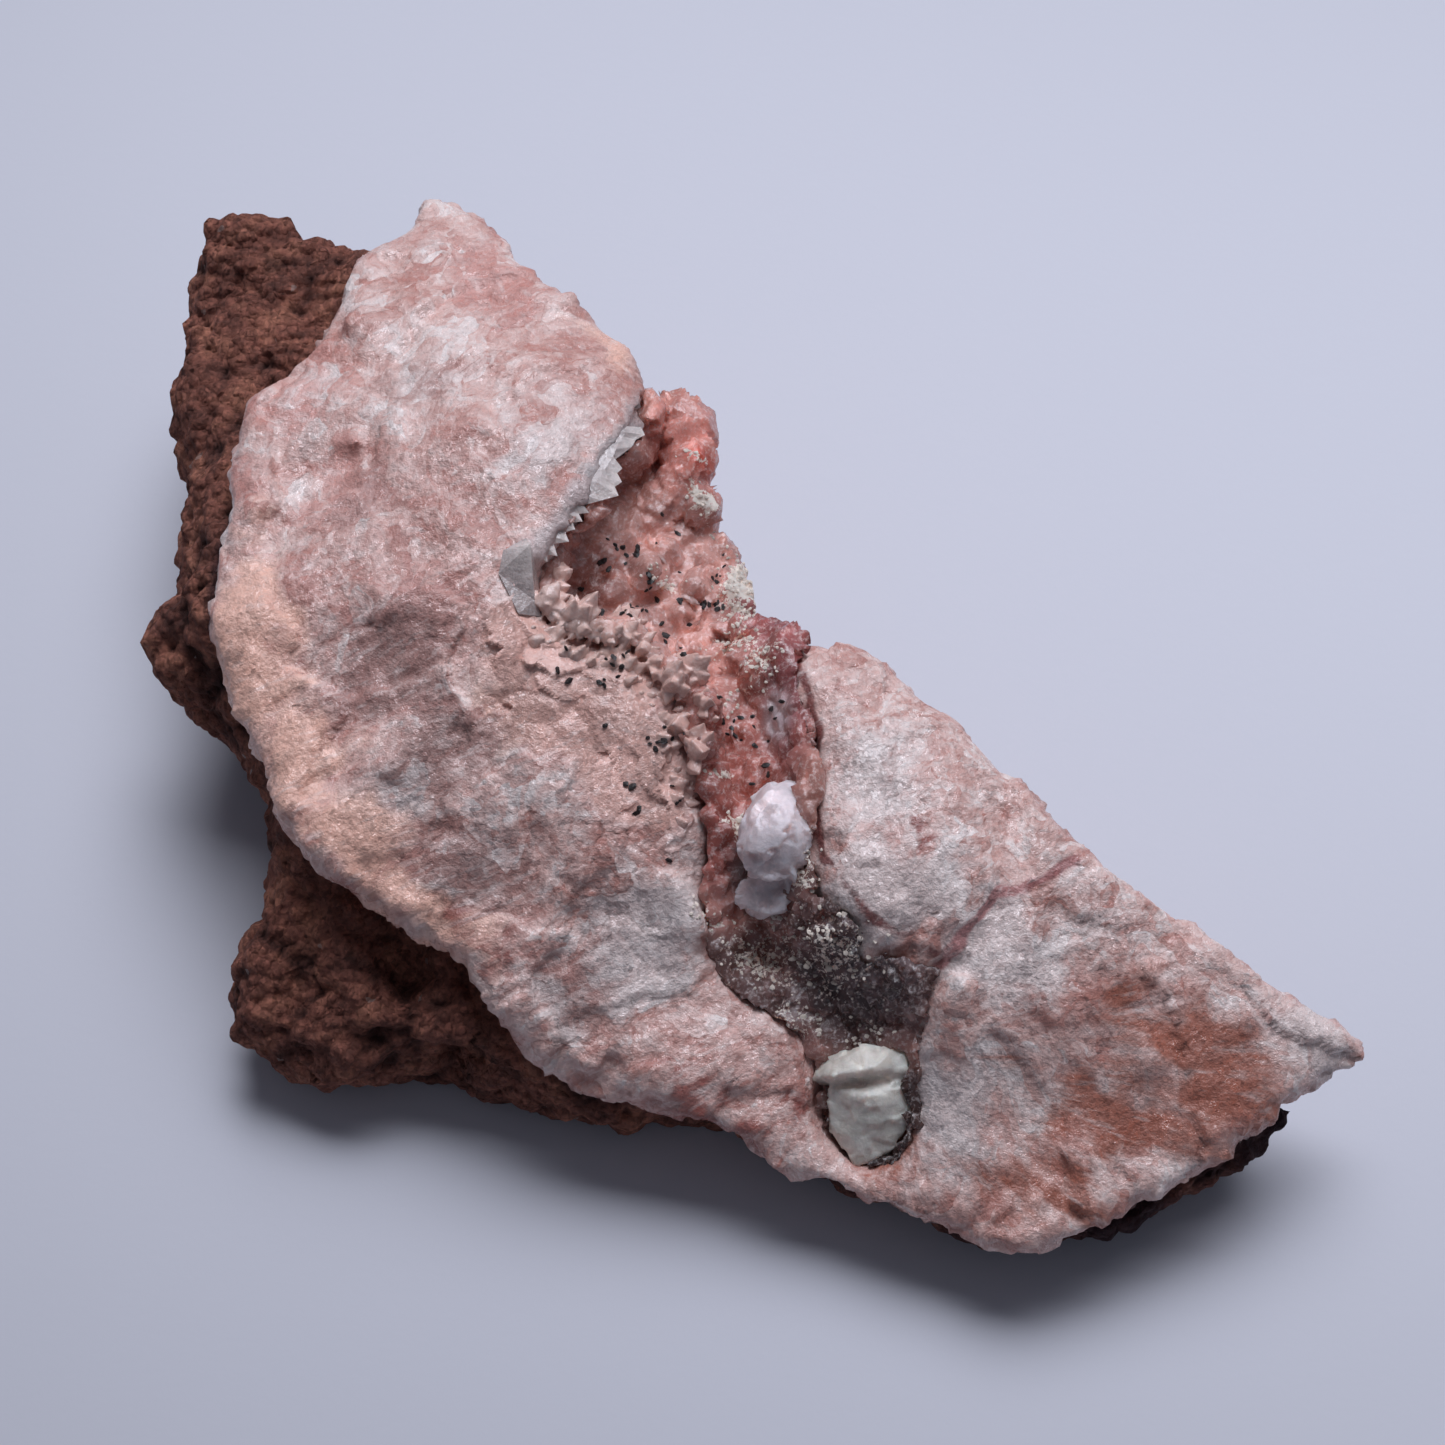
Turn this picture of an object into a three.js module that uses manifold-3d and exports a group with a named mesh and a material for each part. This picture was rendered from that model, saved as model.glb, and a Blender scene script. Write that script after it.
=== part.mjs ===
// A cabinet specimen of pink vein calcite, broken open across a vug lined with iron-stained quartz,
// on its volcanic host rock. Millimetres, +Z up. The broken face looks up and the piece lies on the
// worn flat of the host rock at z = 0. Plan coordinates are (x, y), and a depth is measured down
// from the broken face.
import * as THREE from "three";
import { ConvexGeometry } from "three/addons/geometries/ConvexGeometry.js";
import { ImprovedNoise } from "three/addons/math/ImprovedNoise.js";
import { mergeVertices } from "three/addons/utils/BufferGeometryUtils.js";
import Module from "manifold-3d";

const wasm = await Module();
wasm.setup();

// ---- driving dimensions ----

const gap = 0.4; // clearance between one mineral and the next
const calciteCell = 2.3; // grid step of each solid's surface, and the facets it is given
const calciteFacets = 2950;
const hostCell = 2.8;
const hostFacets = 1250;
const druseCell = 2;
const crustFacets = 420;
const faceRimThickness = 2.8; // calcite at the rim of the broken face
const crustDepth = 2.6; // quartz under the crystals of the vug
const crustWall = 1.4; // quartz on its walls
const restFlat = 0; // height of the worn flat that the piece lies on

// Rim of the broken face, clockwise from the top corner.
const faceRim = [
  [-32.5, 55.6], [-28, 52], [-19.2, 40], [-9.8, 30], [-6.5, 25.5], [-5.5, 28.5], [-4, 28.5], [-2.5, 26],
  [-2.5, 18.5], [0, 14], [1, 9.5], [2.5, 5], [6, 1], [15.2, -3.3], [22.4, -9], [27.6, -15.4],
  [34.2, -22.3], [42, -25.8], [49, -30.4], [53.6, -33.5], [59.4, -36], [61.6, -38.2], [61.2, -39.6],
  [57.5, -41], [54.5, -42.5], [50.5, -46], [41.5, -51], [32.5, -55.5], [26.5, -57], [20.5, -54],
  [10.5, -50], [2, -48], [-1.5, -44.5], [-5, -44], [-10, -43], [-17.5, -41.5], [-22.5, -37],
  [-25, -34.6], [-27.4, -30.6], [-34.4, -27.6], [-42.2, -23.6], [-46.4, -15.4], [-48.5, -11.2], [-51, -7.1],
  [-52.6, -1.5], [-53.1, 3], [-51.6, 9.5], [-52, 18], [-51, 25], [-44.3, 32.6], [-42, 40],
  [-41.5, 43.5], [-34.5, 49.5], [-34, 53],
];

// Widest outline of the host rock: the block and strip on the left, the foot at the lower left,
// tucked in under the front, a rind along the lower right, and set back behind.
const hostRim = [
  [-37.5, 49.5], [-41.5, 50], [-44.5, 51.6], [-50, 55], [-54, 55.6], [-57.5, 56], [-60, 53], [-60, 50],
  [-59.5, 45.5], [-60, 37.5], [-59.5, 32], [-58, 26], [-57.5, 14.5], [-59.5, 5.5], [-59, 3.5],
  [-57.5, 0], [-54.5, -1.5], [-52, -5], [-50.5, -7], [-47.5, -9.5], [-46, -12.5], [-47, -15.5],
  [-47.5, -21.5], [-50, -25], [-51.5, -28], [-51.5, -30], [-49.5, -33.5], [-45.5, -36], [-41, -37],
  [-31, -36.5], [-25.5, -37.5], [-21.5, -38.5], [-19, -41], [-12, -41.5], [-6, -41.5], [-1, -42],
  [3, -45.5], [10, -48], [20, -52], [26, -55], [32, -55.3], [42, -51.3], [51, -46.8], [55, -43.4],
  [57, -41], [52, -38], [42, -34], [34, -28], [26, -21], [20, -14], [11, -7], [3, -3], [-3, 6],
  [-8, 16], [-16, 26], [-24, 38], [-31, 46],
];

// Mouth of the vug in the broken face. It runs out past the rim on the upper right.
const vugMouth = [
  [-8, 22], [-9, 19], [-11, 16.5], [-12, 13], [-12.5, 10], [-15, 8.5], [-16.5, 6.5], [-18, 4.5],
  [-19, 3.5], [-19, -1], [-16, -2.5], [-9.5, -3.5], [-6, -8], [-5, -14], [-4, -20], [-4, -24.5],
  [-4.5, -27.5], [-2.5, -31], [0.5, -33.5], [5, -35.5], [7.5, -38.5], [7, -41.5], [8.5, -46],
  [11.5, -48], [15, -48.5], [17, -46], [18, -42.5], [16.5, -39], [18, -36.5], [19.5, -34],
  [15.5, -33], [12.5, -31.5], [10, -29.5], [7, -27.5], [6.5, -22.5], [7, -18.5], [8, -12.5],
  [6, -8], [5, -2], [8, 3], [6, 14], [2, 24], [0, 34], [-8, 33],
];

// Values that vary over the plan, each row [x, y, value]; between rows they blend smoothly.
const faceHeights = [
  [-32, 51, 34], [-31.5, 46, 34.5], [-18.5, 35, 37.5], [-10, 22.5, 39], [-13.5, 11.5, 41.5],
  [-22, 19.5, 40], [-29.5, 33.5, 38], [-39, 33.5, 36.5], [-47.5, 22.5, 35.5], [-49.5, 7, 34],
  [-37.5, 9.5, 37], [-26.5, 4, 38], [-20.5, 1, 38], [-33, -9.5, 34], [-46.5, -11.5, 30],
  [-39.5, -21, 27], [-28, -18, 30], [-17.5, -9.5, 33.5], [-13.5, -18, 30], [-17, -27, 26],
  [-30, -27.5, 23.5], [-23, -33, 20], [-11.5, -35, 20.5], [-17.5, -41, 12], [-4, -35, 21],
  [-7.5, -42.5, 11], [2, -41.5, 16], [2, -47, 10], [10.5, -49, 9.5], [15.5, -51, 9.5],
  [26, -55, 10], [25, -46, 15], [37.5, -52, 10.5], [34.5, -43.5, 16], [50.5, -45, 12.5],
  [44, -39.5, 19], [59, -39, 16.5], [49, -33.5, 23], [37.5, -27.5, 27], [29.5, -33, 25.5],
  [21, -40.5, 21], [25, -23.5, 30], [21.5, -12, 31], [13.5, -19.5, 33], [15, -29, 30],
  [11, -6.5, 33], [6, -1, 33], [1, 4.5, 33], [-5, 24.5, 34],
];
const calciteKeel = [
  [-30, 10, 9], [-20, 35, 4], [-5, 8, 4], [20, -14, 4], [42, -32, 8], [48, -40, 9], [30, -50, 5],
  [8, -46, 4], [-12, -38, 6], [-25, -28, 9], [0, -20, 9], [-44, 10, 12],
];
const calciteFlare = [
  [-32, 51, 3], [-20, 36, 3.5], [-5, 12, 3.5], [20, -12, 3.5], [38, -27, 2], [56, -37, 0.8],
  [50, -45, 0.9], [28, -54, 0.9], [5, -48, 1], [-15, -41, 1.1], [-34, -27, 1.2], [-48, -10, 1.2],
  [-52, 10, 1.2], [-44, 34, 1.4],
];
const hostSide = [
  [-57, 54, 23], [-50, 54, 26], [-60, 46, 21], [-60, 30, 20], [-58, 12, 20], [-59, 3, 18], [-54, -3, 17],
  [-47, -12, 15], [-47, -20, 13], [-51, -29, 9], [-45, -36, 6], [-33, -37, 5], [-20, -40, 6],
  [-8, -42, 6], [8, -48, 5.5], [20, -52, 6], [35, -54, 6.5], [50, -47, 8.5], [56, -41, 11],
  [40, -33, 5], [15, -12, 4], [-5, 10, 4], [-25, 38, 6], [-36, 47, 20], [-44, 50, 29],
];
const hostFoot = [
  [-57, 50, 1.6], [-60, 30, 2.2], [-58, 5, 2.2], [-47, -15, 2.2], [-50, -30, 1.8], [-35, -37, 1.6],
  [-10, -42, 1], [10, -48, 0.9], [35, -54, 0.7], [55, -42, 0.6], [40, -33, 1], [10, -8, 1.5],
  [-20, 32, 1.5],
];
const hostCrest = [
  [-52, 52, 30], [-46, 48, 32], [-57, 47, 27], [-47, 38, 29], [-54, 36, 27], [-55, 20, 30],
  [-52, 5, 31], [-50, -5, 28], [-46, -14, 25], [-44, -22, 20], [-36, -27.5, 20], [-40, -31, 14],
  [-46, -29, 13], [-30, -31, 15], [-27, -33, 14], [-21, -38, 11], [-12, -41, 9], [10, -47, 8],
  [30, -54, 8], [50, -46, 10],
];
const vugDepth = [
  [-15, 4, 12], [-10, 10, 11.5], [-5, 20, 9], [0, 5, 7.5], [-2, -8, 6], [2, -16, 6.5], [0, -24, 6.5],
  [4, -31, 6.5], [13, -36, 6.5], [12, -45, 3.2], [15, -48, 2],
];
const vugWall = [
  [-10, 18, 1.4], [-16, 7, 1.2], [-19, 1, 2], [-14, -4, 5], [-6, -12, 6], [-4, -24, 5], [1, -34, 4],
  [7, -44, 3], [16, -48, 3], [18, -40, 3], [13, -31, 3], [7, -22, 3], [7, -12, 3.5], [5, 0, 4],
];
const lipUndercut = [0.42, -0.3]; // how far the vug runs back under its lip for each mm of depth
const lipMiddle = [-12, 11];
const lipReach = 17;

// Scales of the fracture that stand proud: hinge side level with the face, far side a crisp step.
const scales = [
  { x: -8, y: -27.5, length: 9, width: 8, turn: 40, lift: 1.6 },
  { x: -40, y: 21, length: 7, width: 6, turn: -70, lift: 1.5 },
  { x: -30, y: 22, length: 14, width: 9, turn: -40, lift: 1.4 },
  { x: -37, y: 33, length: 9, width: 6, turn: 150, lift: 1.3 },
  { x: 23, y: -38, length: 9, width: 8, turn: 160, lift: 1.5 },
  { x: 36, y: -39, length: 11, width: 7, turn: -35, lift: 1.6 },
  { x: -24, y: -5, length: 13, width: 9, turn: -10, lift: 1.2 },
  { x: -14, y: -36, length: 10, width: 7, turn: -100, lift: 1.5 },
  { x: -1, y: -38, length: 9, width: 6, turn: -60, lift: 1.4 },
  { x: 33, y: -46, length: 10, width: 6, turn: -80, lift: 1.3 },
  { x: -34, y: -20, length: 9, width: 7, turn: -150, lift: 1.2 },
  { x: 46, y: -36, length: 8, width: 6, turn: -20, lift: 1.1 },
];
const hostPits = [
  { x: -45, y: 39.5, z: 30, radius: 3.6 }, { x: -33, y: -29, z: 16.5, radius: 3.4 },
  { x: -57, y: 44, z: 27, radius: 3 }, { x: -44, y: -31, z: 14, radius: 3 },
  { x: -28, y: -36, z: 9, radius: 3 }, { x: -61, y: 20, z: 24, radius: 3 },
  { x: -50, y: 46, z: 32, radius: 2.6 },
];
const hostLumps = [
  { x: -51, y: 45, z: 26, radius: 4.5 }, { x: -55, y: 38, z: 23, radius: 4.5 },
  { x: -57, y: 31, z: 21, radius: 4 }, { x: -57, y: 5, z: 20, radius: 3.6 },
  { x: -56, y: 17, z: 22, radius: 3.6 }, { x: -38, y: -33, z: 8, radius: 4.5 },
  { x: -47, y: -30, z: 8, radius: 4.5 }, { x: -27, y: -34, z: 10, radius: 4 },
];

// ---- small helpers ----

const noise = new ImprovedNoise();
const { clamp, degToRad, lerp } = THREE.MathUtils;
const smooth = (t) => THREE.MathUtils.smoothstep(t, 0, 1);

function smoothMax(a, b, radius) {
  const share = clamp(0.5 + (0.5 * (a - b)) / radius, 0, 1);
  return lerp(b, a, share) + radius * share * (1 - share);
}

const smoothMin = (a, b, radius) => -smoothMax(-a, -b, radius);

// Repeatable random number from 0 to 1 for a whole-number cell and channel.
function chance(i, j, channel) {
  const wave = Math.sin(i * 127.1 + j * 311.7 + channel * 74.7) * 43758.5453;
  return wave - Math.floor(wave);
}

// Smooth field through [x, y, value] rows: each row counts by a bell of the given radius.
function blend(rows, radius) {
  return (x, y) => {
    let total = 0;
    let weights = 1e-30;
    for (const [rowX, rowY, value] of rows) {
      const weight = Math.exp(-((x - rowX) ** 2 + (y - rowY) ** 2) / (2 * radius * radius)) + 1e-24;
      total += weight * value;
      weights += weight;
    }
    return total / weights;
  };
}

// Signed distance to a closed outline, negative inside.
function outlineDistance(outline) {
  return (x, y) => {
    let nearest = Infinity;
    let inside = false;
    outline.forEach(([ax, ay], i) => {
      const [bx, by] = outline[(i + 1) % outline.length];
      const [dx, dy] = [bx - ax, by - ay];
      const along = clamp(((x - ax) * dx + (y - ay) * dy) / (dx * dx + dy * dy), 0, 1);
      nearest = Math.min(nearest, Math.hypot(x - ax - along * dx, y - ay - along * dy));
      if (ay > y !== by > y && x < ax + ((y - ay) / dy) * dx) inside = !inside;
    });
    return inside ? -nearest : nearest;
  };
}

const faceHeightAt = blend(faceHeights, 6.5);
const keelAt = blend(calciteKeel, 10);
const flareAt = blend(calciteFlare, 10);
const sideAt = blend(hostSide, 8);
const footAt = blend(hostFoot, 10);
const crestAt = blend(hostCrest, 6);
const depthAt = blend(vugDepth, 6);
const wallAt = blend(vugWall, 5);
const rimDistance = outlineDistance(faceRim);
const hostDistance = outlineDistance(hostRim);
const mouthDistance = outlineDistance(vugMouth);

// ---- the shapes as fields: negative inside, zero on the surface ----

// Hackly fracture: each cell of the break is a plane with its own tilt and level.
function hackle(x, y, cell, tilt, step) {
  const column = Math.floor(x / cell);
  const row = Math.floor(y / cell);
  let best = Infinity;
  let height = 0;
  for (let i = column - 1; i <= column + 1; i++) {
    for (let j = row - 1; j <= row + 1; j++) {
      const dx = x - (i + chance(i, j, 1)) * cell;
      const dy = y - (j + chance(i, j, 2)) * cell;
      const distance = dx * dx + dy * dy;
      if (distance >= best) continue;
      best = distance;
      height = step * (chance(i, j, 3) - 0.5);
      height += tilt * ((chance(i, j, 4) - 0.5) * dx + (chance(i, j, 5) - 0.5) * dy);
    }
  }
  return height;
}

// Above zero in the rock, below zero in the open vug; spread and sink make it wider and deeper.
function vugField(x, y, z, spread, sink) {
  const depth = faceHeightAt(x, y) - z;
  const lipShare = smooth(1.5 - Math.hypot(x - lipMiddle[0], y - lipMiddle[1]) / lipReach);
  const reach = Math.max(depth, 0) * lipShare;
  const inside = spread - mouthDistance(x + lipUndercut[0] * reach, y + lipUndercut[1] * reach);
  return depth - (depthAt(x, y) + sink) * smooth(inside / wallAt(x, y)) + 4 * smooth(-inside / 2);
}

function calciteField(x, y, z) {
  const ragged = 0.7 * noise.noise(x / 5, y / 5, z / 7);
  const inset = -rimDistance(x, y) + ragged;
  const top = faceHeightAt(x, y) + hackle(x, y, 9, 0.35, 1.4);
  const base = faceHeightAt(x, y) - faceRimThickness - flareAt(x, y) * inset;
  const under = smoothMax(base, keelAt(x, y), 3) + 1.4 * noise.noise(x / 9, y / 9, 3);
  const slab = smoothMax(smoothMax(z - top, -inset, 0.8), under - z, 1.2);
  return smoothMax(slab, -vugField(x, y, z, crustWall / 2, crustDepth), 0.5);
}

function hostField(x, y, z) {
  const rough = 1.9 * noise.noise(x / 9, y / 9, z / 8) + 1.1 * noise.noise(x / 4.5 + 40, y / 4.5, z / 4.5);
  const inset = -hostDistance(x, y);
  const side = sideAt(x, y);
  const limit = rimDistance(x, y) < 0 ? faceHeightAt(x, y) - 2.2 : Infinity;
  const top = Math.min(side + 1.5 + 2.4 * inset, crestAt(x, y), limit);
  const under = Math.max(side - 2 - footAt(x, y) * inset, restFlat - 1.6);
  let field = smoothMax(smoothMax(z - top, -inset, 1), under - z, 1);
  for (const lump of hostLumps) {
    field = smoothMin(field, Math.hypot(x - lump.x, y - lump.y, z - lump.z) - lump.radius, 2);
  }
  for (const pit of hostPits) {
    field = smoothMax(field, pit.radius - Math.hypot(x - pit.x, y - pit.y, z - pit.z), 1.2);
  }
  return field + rough * 0.8;
}

function crustField(x, y, z) {
  const surface = -vugField(x, y, z, -crustWall / 2, 0);
  const root = vugField(x, y, z, 3, crustDepth + 3);
  const depth = faceHeightAt(x, y) - z;
  const edge = mouthDistance(x, y) - crustWall / 2 - 0.6 * Math.max(depth, 0);
  return Math.max(surface, root, edge, 0.2 - depth, rimDistance(x, y) + 0.2);
}

// ---- from field to solid ----

// The twelve edges of a grid cell, each as its two corners.
const cellEdges = [0, 1, 2].flatMap((axis) =>
  [[0, 0], [0, 1], [1, 0], [1, 1]].map(([side, level]) =>
    [0, 1].map((end) => {
      const corner = [0, 0, 0];
      corner[axis] = end;
      corner[(axis + 1) % 3] = side;
      corner[(axis + 2) % 3] = level;
      return corner;
    }),
  ),
);

// Values of a field on a grid over a box, scaled so that they read as distances near the surface.
function sampleGrid(field, [low, high], cell) {
  const count = low.map((start, axis) => Math.ceil((high[axis] - start) / cell) + 1);
  const strides = [1, count[0], count[0] * count[1]];
  const place = (i, j, k) => [low[0] + i * cell, low[1] + j * cell, low[2] + k * cell];
  const raw = new Float32Array(count[0] * count[1] * count[2]);
  for (let k = 0, slot = 0; k < count[2]; k++) {
    for (let j = 0; j < count[1]; j++) {
      for (let i = 0; i < count[0]; i++) raw[slot++] = field(...place(i, j, k));
    }
  }
  const values = raw.map((value, corner) => {
    const slopes = strides.map((stride) => (raw[corner + stride] - raw[corner - stride]) / (2 * cell) || 0);
    return value / Math.max(1, Math.hypot(...slopes));
  });
  clearCheckerboards(values, strides);
  return { values, count, strides, place };
}

// Closed surface of field = 0 with the given number of facets. It starts as a surface net: one
// vertex in each crossed cell, one quad over each crossed edge.
function facetedSolid(field, box, cell, facets) {
  const { values, count, strides, place } = sampleGrid(field, box, cell);
  const vertexOf = new Map();
  const positions = [];
  const triangles = [];
  for (let k = 0; k < count[2] - 1; k++) {
    for (let j = 0; j < count[1] - 1; j++) {
      for (let i = 0; i < count[0] - 1; i++) {
        const corner = i + j * strides[1] + k * strides[2];
        const sum = [0, 0, 0];
        let crossings = 0;
        for (const [from, to] of cellEdges) {
          const start = values[corner + from[0] + from[1] * strides[1] + from[2] * strides[2]];
          const end = values[corner + to[0] + to[1] * strides[1] + to[2] * strides[2]];
          if (start < 0 === end < 0) continue;
          const share = start / (start - end);
          for (let axis = 0; axis < 3; axis++) sum[axis] += lerp(from[axis], to[axis], share);
          crossings++;
        }
        if (!crossings) continue;
        vertexOf.set(corner, positions.length / 3);
        positions.push(...place(i + sum[0] / crossings, j + sum[1] / crossings, k + sum[2] / crossings));
      }
    }
  }
  for (let k = 1; k < count[2] - 1; k++) {
    for (let j = 1; j < count[1] - 1; j++) {
      for (let i = 1; i < count[0] - 1; i++) {
        const corner = i + j * strides[1] + k * strides[2];
        for (let axis = 0; axis < 3; axis++) {
          const solidBelow = values[corner] < 0;
          if (solidBelow === values[corner + strides[axis]] < 0) continue;
          const [u, v] = [strides[(axis + 1) % 3], strides[(axis + 2) % 3]];
          const ring = [corner - u - v, corner - v, corner, corner - u].map((c) => vertexOf.get(c));
          pushQuad(triangles, positions, solidBelow ? ring : ring.reverse());
        }
      }
    }
  }
  return decimated(positions, triangles, facets);
}

// Splits a quad along its shorter diagonal.
function pushQuad(triangles, positions, [a, b, c, d]) {
  const span = (p, q) => Math.hypot(...[0, 1, 2].map((n) => positions[3 * p + n] - positions[3 * q + n]));
  if (span(a, c) < span(b, d)) triangles.push(a, b, c, a, c, d);
  else triangles.push(b, c, d, b, d, a);
}

// A grid square whose corners are solid and open in a checkerboard would pinch the surface, so the
// open corner nearest the surface is filled.
function clearCheckerboards(values, strides) {
  const last = values.length - strides[2] - strides[1] - 1;
  for (let filled = true; filled; ) {
    filled = false;
    for (let corner = 0; corner < last; corner++) {
      for (let axis = 0; axis < 3; axis++) {
        const [u, v] = [strides[(axis + 1) % 3], strides[(axis + 2) % 3]];
        const square = [corner, corner + u, corner + u + v, corner + v];
        const solid = square.map((c) => values[c] < 0);
        if (solid[0] !== solid[2] || solid[1] !== solid[3] || solid[0] === solid[1]) continue;
        const open = square.filter((c) => values[c] >= 0);
        values[values[open[0]] < values[open[1]] ? open[0] : open[1]] = -0.05;
        filled = true;
      }
    }
  }
}

// Squared-distance form of a triangle's plane, weighted by its area, as its ten coefficients.
function planeForm(a, b, c) {
  const normal = new THREE.Vector3().crossVectors(b.clone().sub(a), c.clone().sub(a));
  const area = normal.length() / 2 || 1e-9;
  const [x, y, z] = normal.normalize();
  const w = -normal.dot(a);
  return [x * x, x * y, x * z, x * w, y * y, y * z, y * w, z * z, z * w, w * w].map((term) => term * area);
}

function formAt([xx, xy, xz, xw, yy, yz, yw, zz, zw, ww], { x, y, z }) {
  const squares = xx * x * x + yy * y * y + zz * z * z + ww;
  return squares + 2 * (xy * x * y + xz * x * z + yz * y * z + xw * x + yw * y + zw * z);
}

// Merges the edges whose loss changes the shape least until the number of facets is reached, so
// that flat breaks become large facets and ridges stay sharp. The surface stays closed.
function decimated(positions, triangles, facets) {
  const points = [];
  for (let n = 0; n < positions.length; n += 3) points.push(new THREE.Vector3(...positions.slice(n, n + 3)));
  let faces = [];
  for (let n = 0; n < triangles.length; n += 3) faces.push(triangles.slice(n, n + 3));
  const forms = points.map(() => new Array(10).fill(0));
  for (const face of faces) {
    const form = planeForm(...face.map((corner) => points[corner]));
    face.forEach((corner) => form.forEach((term, n) => (forms[corner][n] += term)));
  }
  for (let merged = 1; merged && faces.length > facets; ) {
    const around = new Map(points.map((_, corner) => [corner, []]));
    faces.forEach((face) => face.forEach((corner) => around.get(corner).push(face)));
    const next = (corner) => new Set(around.get(corner).flat().filter((other) => other !== corner));
    const edges = faces.flatMap(([a, b, c]) => [[a, b], [b, c], [c, a]]).filter(([a, b]) => a < b);
    const options = edges.map(([a, b]) => {
      const form = forms[a].map((term, n) => term + forms[b][n]);
      const places = [points[a], points[b], points[a].clone().add(points[b]).multiplyScalar(0.5)];
      const stretch = 1e-4 * points[a].distanceToSquared(points[b]);
      const costs = places.map((place) => formAt(form, place) + stretch);
      const best = costs.indexOf(Math.min(...costs));
      return { a, b, form, place: places[best].clone(), cost: costs[best] };
    });
    options.sort((one, two) => one.cost - two.cost);
    const touched = new Set();
    const wanted = Math.min((faces.length - facets) / 2, faces.length / 12);
    merged = 0;
    for (const { a, b, form, place } of options) {
      if (merged >= wanted) break;
      if (touched.has(a) || touched.has(b)) continue;
      const [nextA, nextB] = [next(a), next(b)];
      if ([...nextA].filter((corner) => nextB.has(corner)).length !== 2) continue;
      if (turnsOver(around.get(a), a, b, place, points)) continue;
      if (turnsOver(around.get(b), b, a, place, points)) continue;
      points[a] = place;
      forms[a] = form;
      around.get(b).forEach((face) => (face[face.indexOf(b)] = face.includes(a) ? -1 : a));
      [...nextA, ...nextB].forEach((corner) => touched.add(corner));
      merged++;
    }
    faces = faces.filter((face) => !face.includes(-1));
  }
  return toSolid(points.flatMap((point) => [...point]), faces.flat());
}

// Whether moving a corner to a new place would fold any of its faces over.
function turnsOver(faces, corner, gone, place, points) {
  const normalOf = (corners) => new THREE.Triangle(...corners).getNormal(new THREE.Vector3());
  return faces.some((face) => {
    if (face.includes(gone)) return false;
    const before = normalOf(face.map((n) => points[n]));
    const after = normalOf(face.map((n) => (n === corner ? place : points[n])));
    return before.dot(after) < 0.3;
  });
}

function toSolid(positions, triangles) {
  const vertProperties = new Float32Array(positions);
  const triVerts = new Uint32Array(triangles);
  return new wasm.Manifold(new wasm.Mesh({ numProp: 3, vertProperties, triVerts }));
}

function solidOf(geometry) {
  const bare = new THREE.BufferGeometry().setAttribute("position", geometry.getAttribute("position"));
  const merged = mergeVertices(bare.setIndex(geometry.index), 1e-4);
  return toSolid(merged.attributes.position.array, merged.index.array);
}

const largestOf = (solid) => solid.decompose().reduce((a, b) => (a.volume() > b.volume() ? a : b));
const joined = (solids) => solids.reduce((all, solid) => all.add(solid));

function geometryOf(solid) {
  const mesh = solid.getMesh();
  const positions = new Float32Array(mesh.numVert * 3);
  for (let i = 0; i < mesh.numVert; i++) {
    positions.set(mesh.vertProperties.subarray(i * mesh.numProp, i * mesh.numProp + 3), i * 3);
  }
  const geometry = new THREE.BufferGeometry();
  geometry.setAttribute("position", new THREE.BufferAttribute(positions, 3));
  return geometry.setIndex(new THREE.BufferAttribute(mesh.triVerts, 1));
}

// The solid with its whole surface moved out by a distance.
function grown(solid, distance) {
  const geometry = geometryOf(solid);
  geometry.computeVertexNormals();
  const { position, normal } = geometry.attributes;
  const moved = position.array.map((value, n) => value + distance * normal.array[n]);
  return toSolid(moved, geometry.index.array).add(solid);
}

// ---- scales and crystals ----

const scaleRoot = 3; // depth of a plate's root under the face

// Angular plate of the fracture: sunk into the face at its back, its front edge standing proud.
function scalePlate({ x, y, length, width, turn, lift }) {
  const [forwardX, forwardY] = [Math.cos(degToRad(turn)), Math.sin(degToRad(turn))];
  const corners = [0, 1, 2, 3, 4, 5].flatMap((n) => {
    const angle = ((n + 0.6 * chance(x, y, n)) * Math.PI) / 3;
    const reach = lerp(0.35, 0.55, chance(y, x, n));
    const [along, across] = [reach * Math.cos(angle), reach * Math.sin(angle)];
    const px = x + along * length * forwardX - across * width * forwardY;
    const py = y + along * length * forwardY + across * width * forwardX;
    const level = faceHeightAt(px, py);
    const top = level + lift * (2 * along + 0.1);
    return [new THREE.Vector3(px, py, top), new THREE.Vector3(px, py, level - scaleRoot)];
  });
  return solidOf(new ConvexGeometry(corners));
}

// Quartz point: a six-sided tip on a six-sided prism, or without one when prism is 0. Its root
// reaches a little below the given place.
function quartzPoint({ at, axis, radius, prism = 0, tip, spin = 0 }) {
  const ring = (height, size) =>
    Array.from({ length: 6 }, (_, n) => {
      const angle = spin + (n * Math.PI) / 3;
      return new THREE.Vector3(size * Math.cos(angle), size * Math.sin(angle), height);
    });
  const corners = prism ? [...ring(-radius, radius), ...ring(prism, radius)] : ring(-radius / 2, radius);
  corners.push(new THREE.Vector3(0, 0, prism + tip));
  const direction = new THREE.Vector3(...axis).normalize();
  const turn = new THREE.Quaternion().setFromUnitVectors(new THREE.Vector3(0, 0, 1), direction);
  corners.forEach((corner) => corner.applyQuaternion(turn).add(new THREE.Vector3(...at)));
  return solidOf(new ConvexGeometry(corners));
}

// Height of the crust's surface at a plan position, found from above.
function crustTop(x, y) {
  let z = faceHeightAt(x, y) + 2;
  while (z > 0 && vugField(x, y, z, -crustWall / 2, 0) < 0) z -= 0.2;
  return z;
}

const druseSpacing = 4.2;

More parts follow.
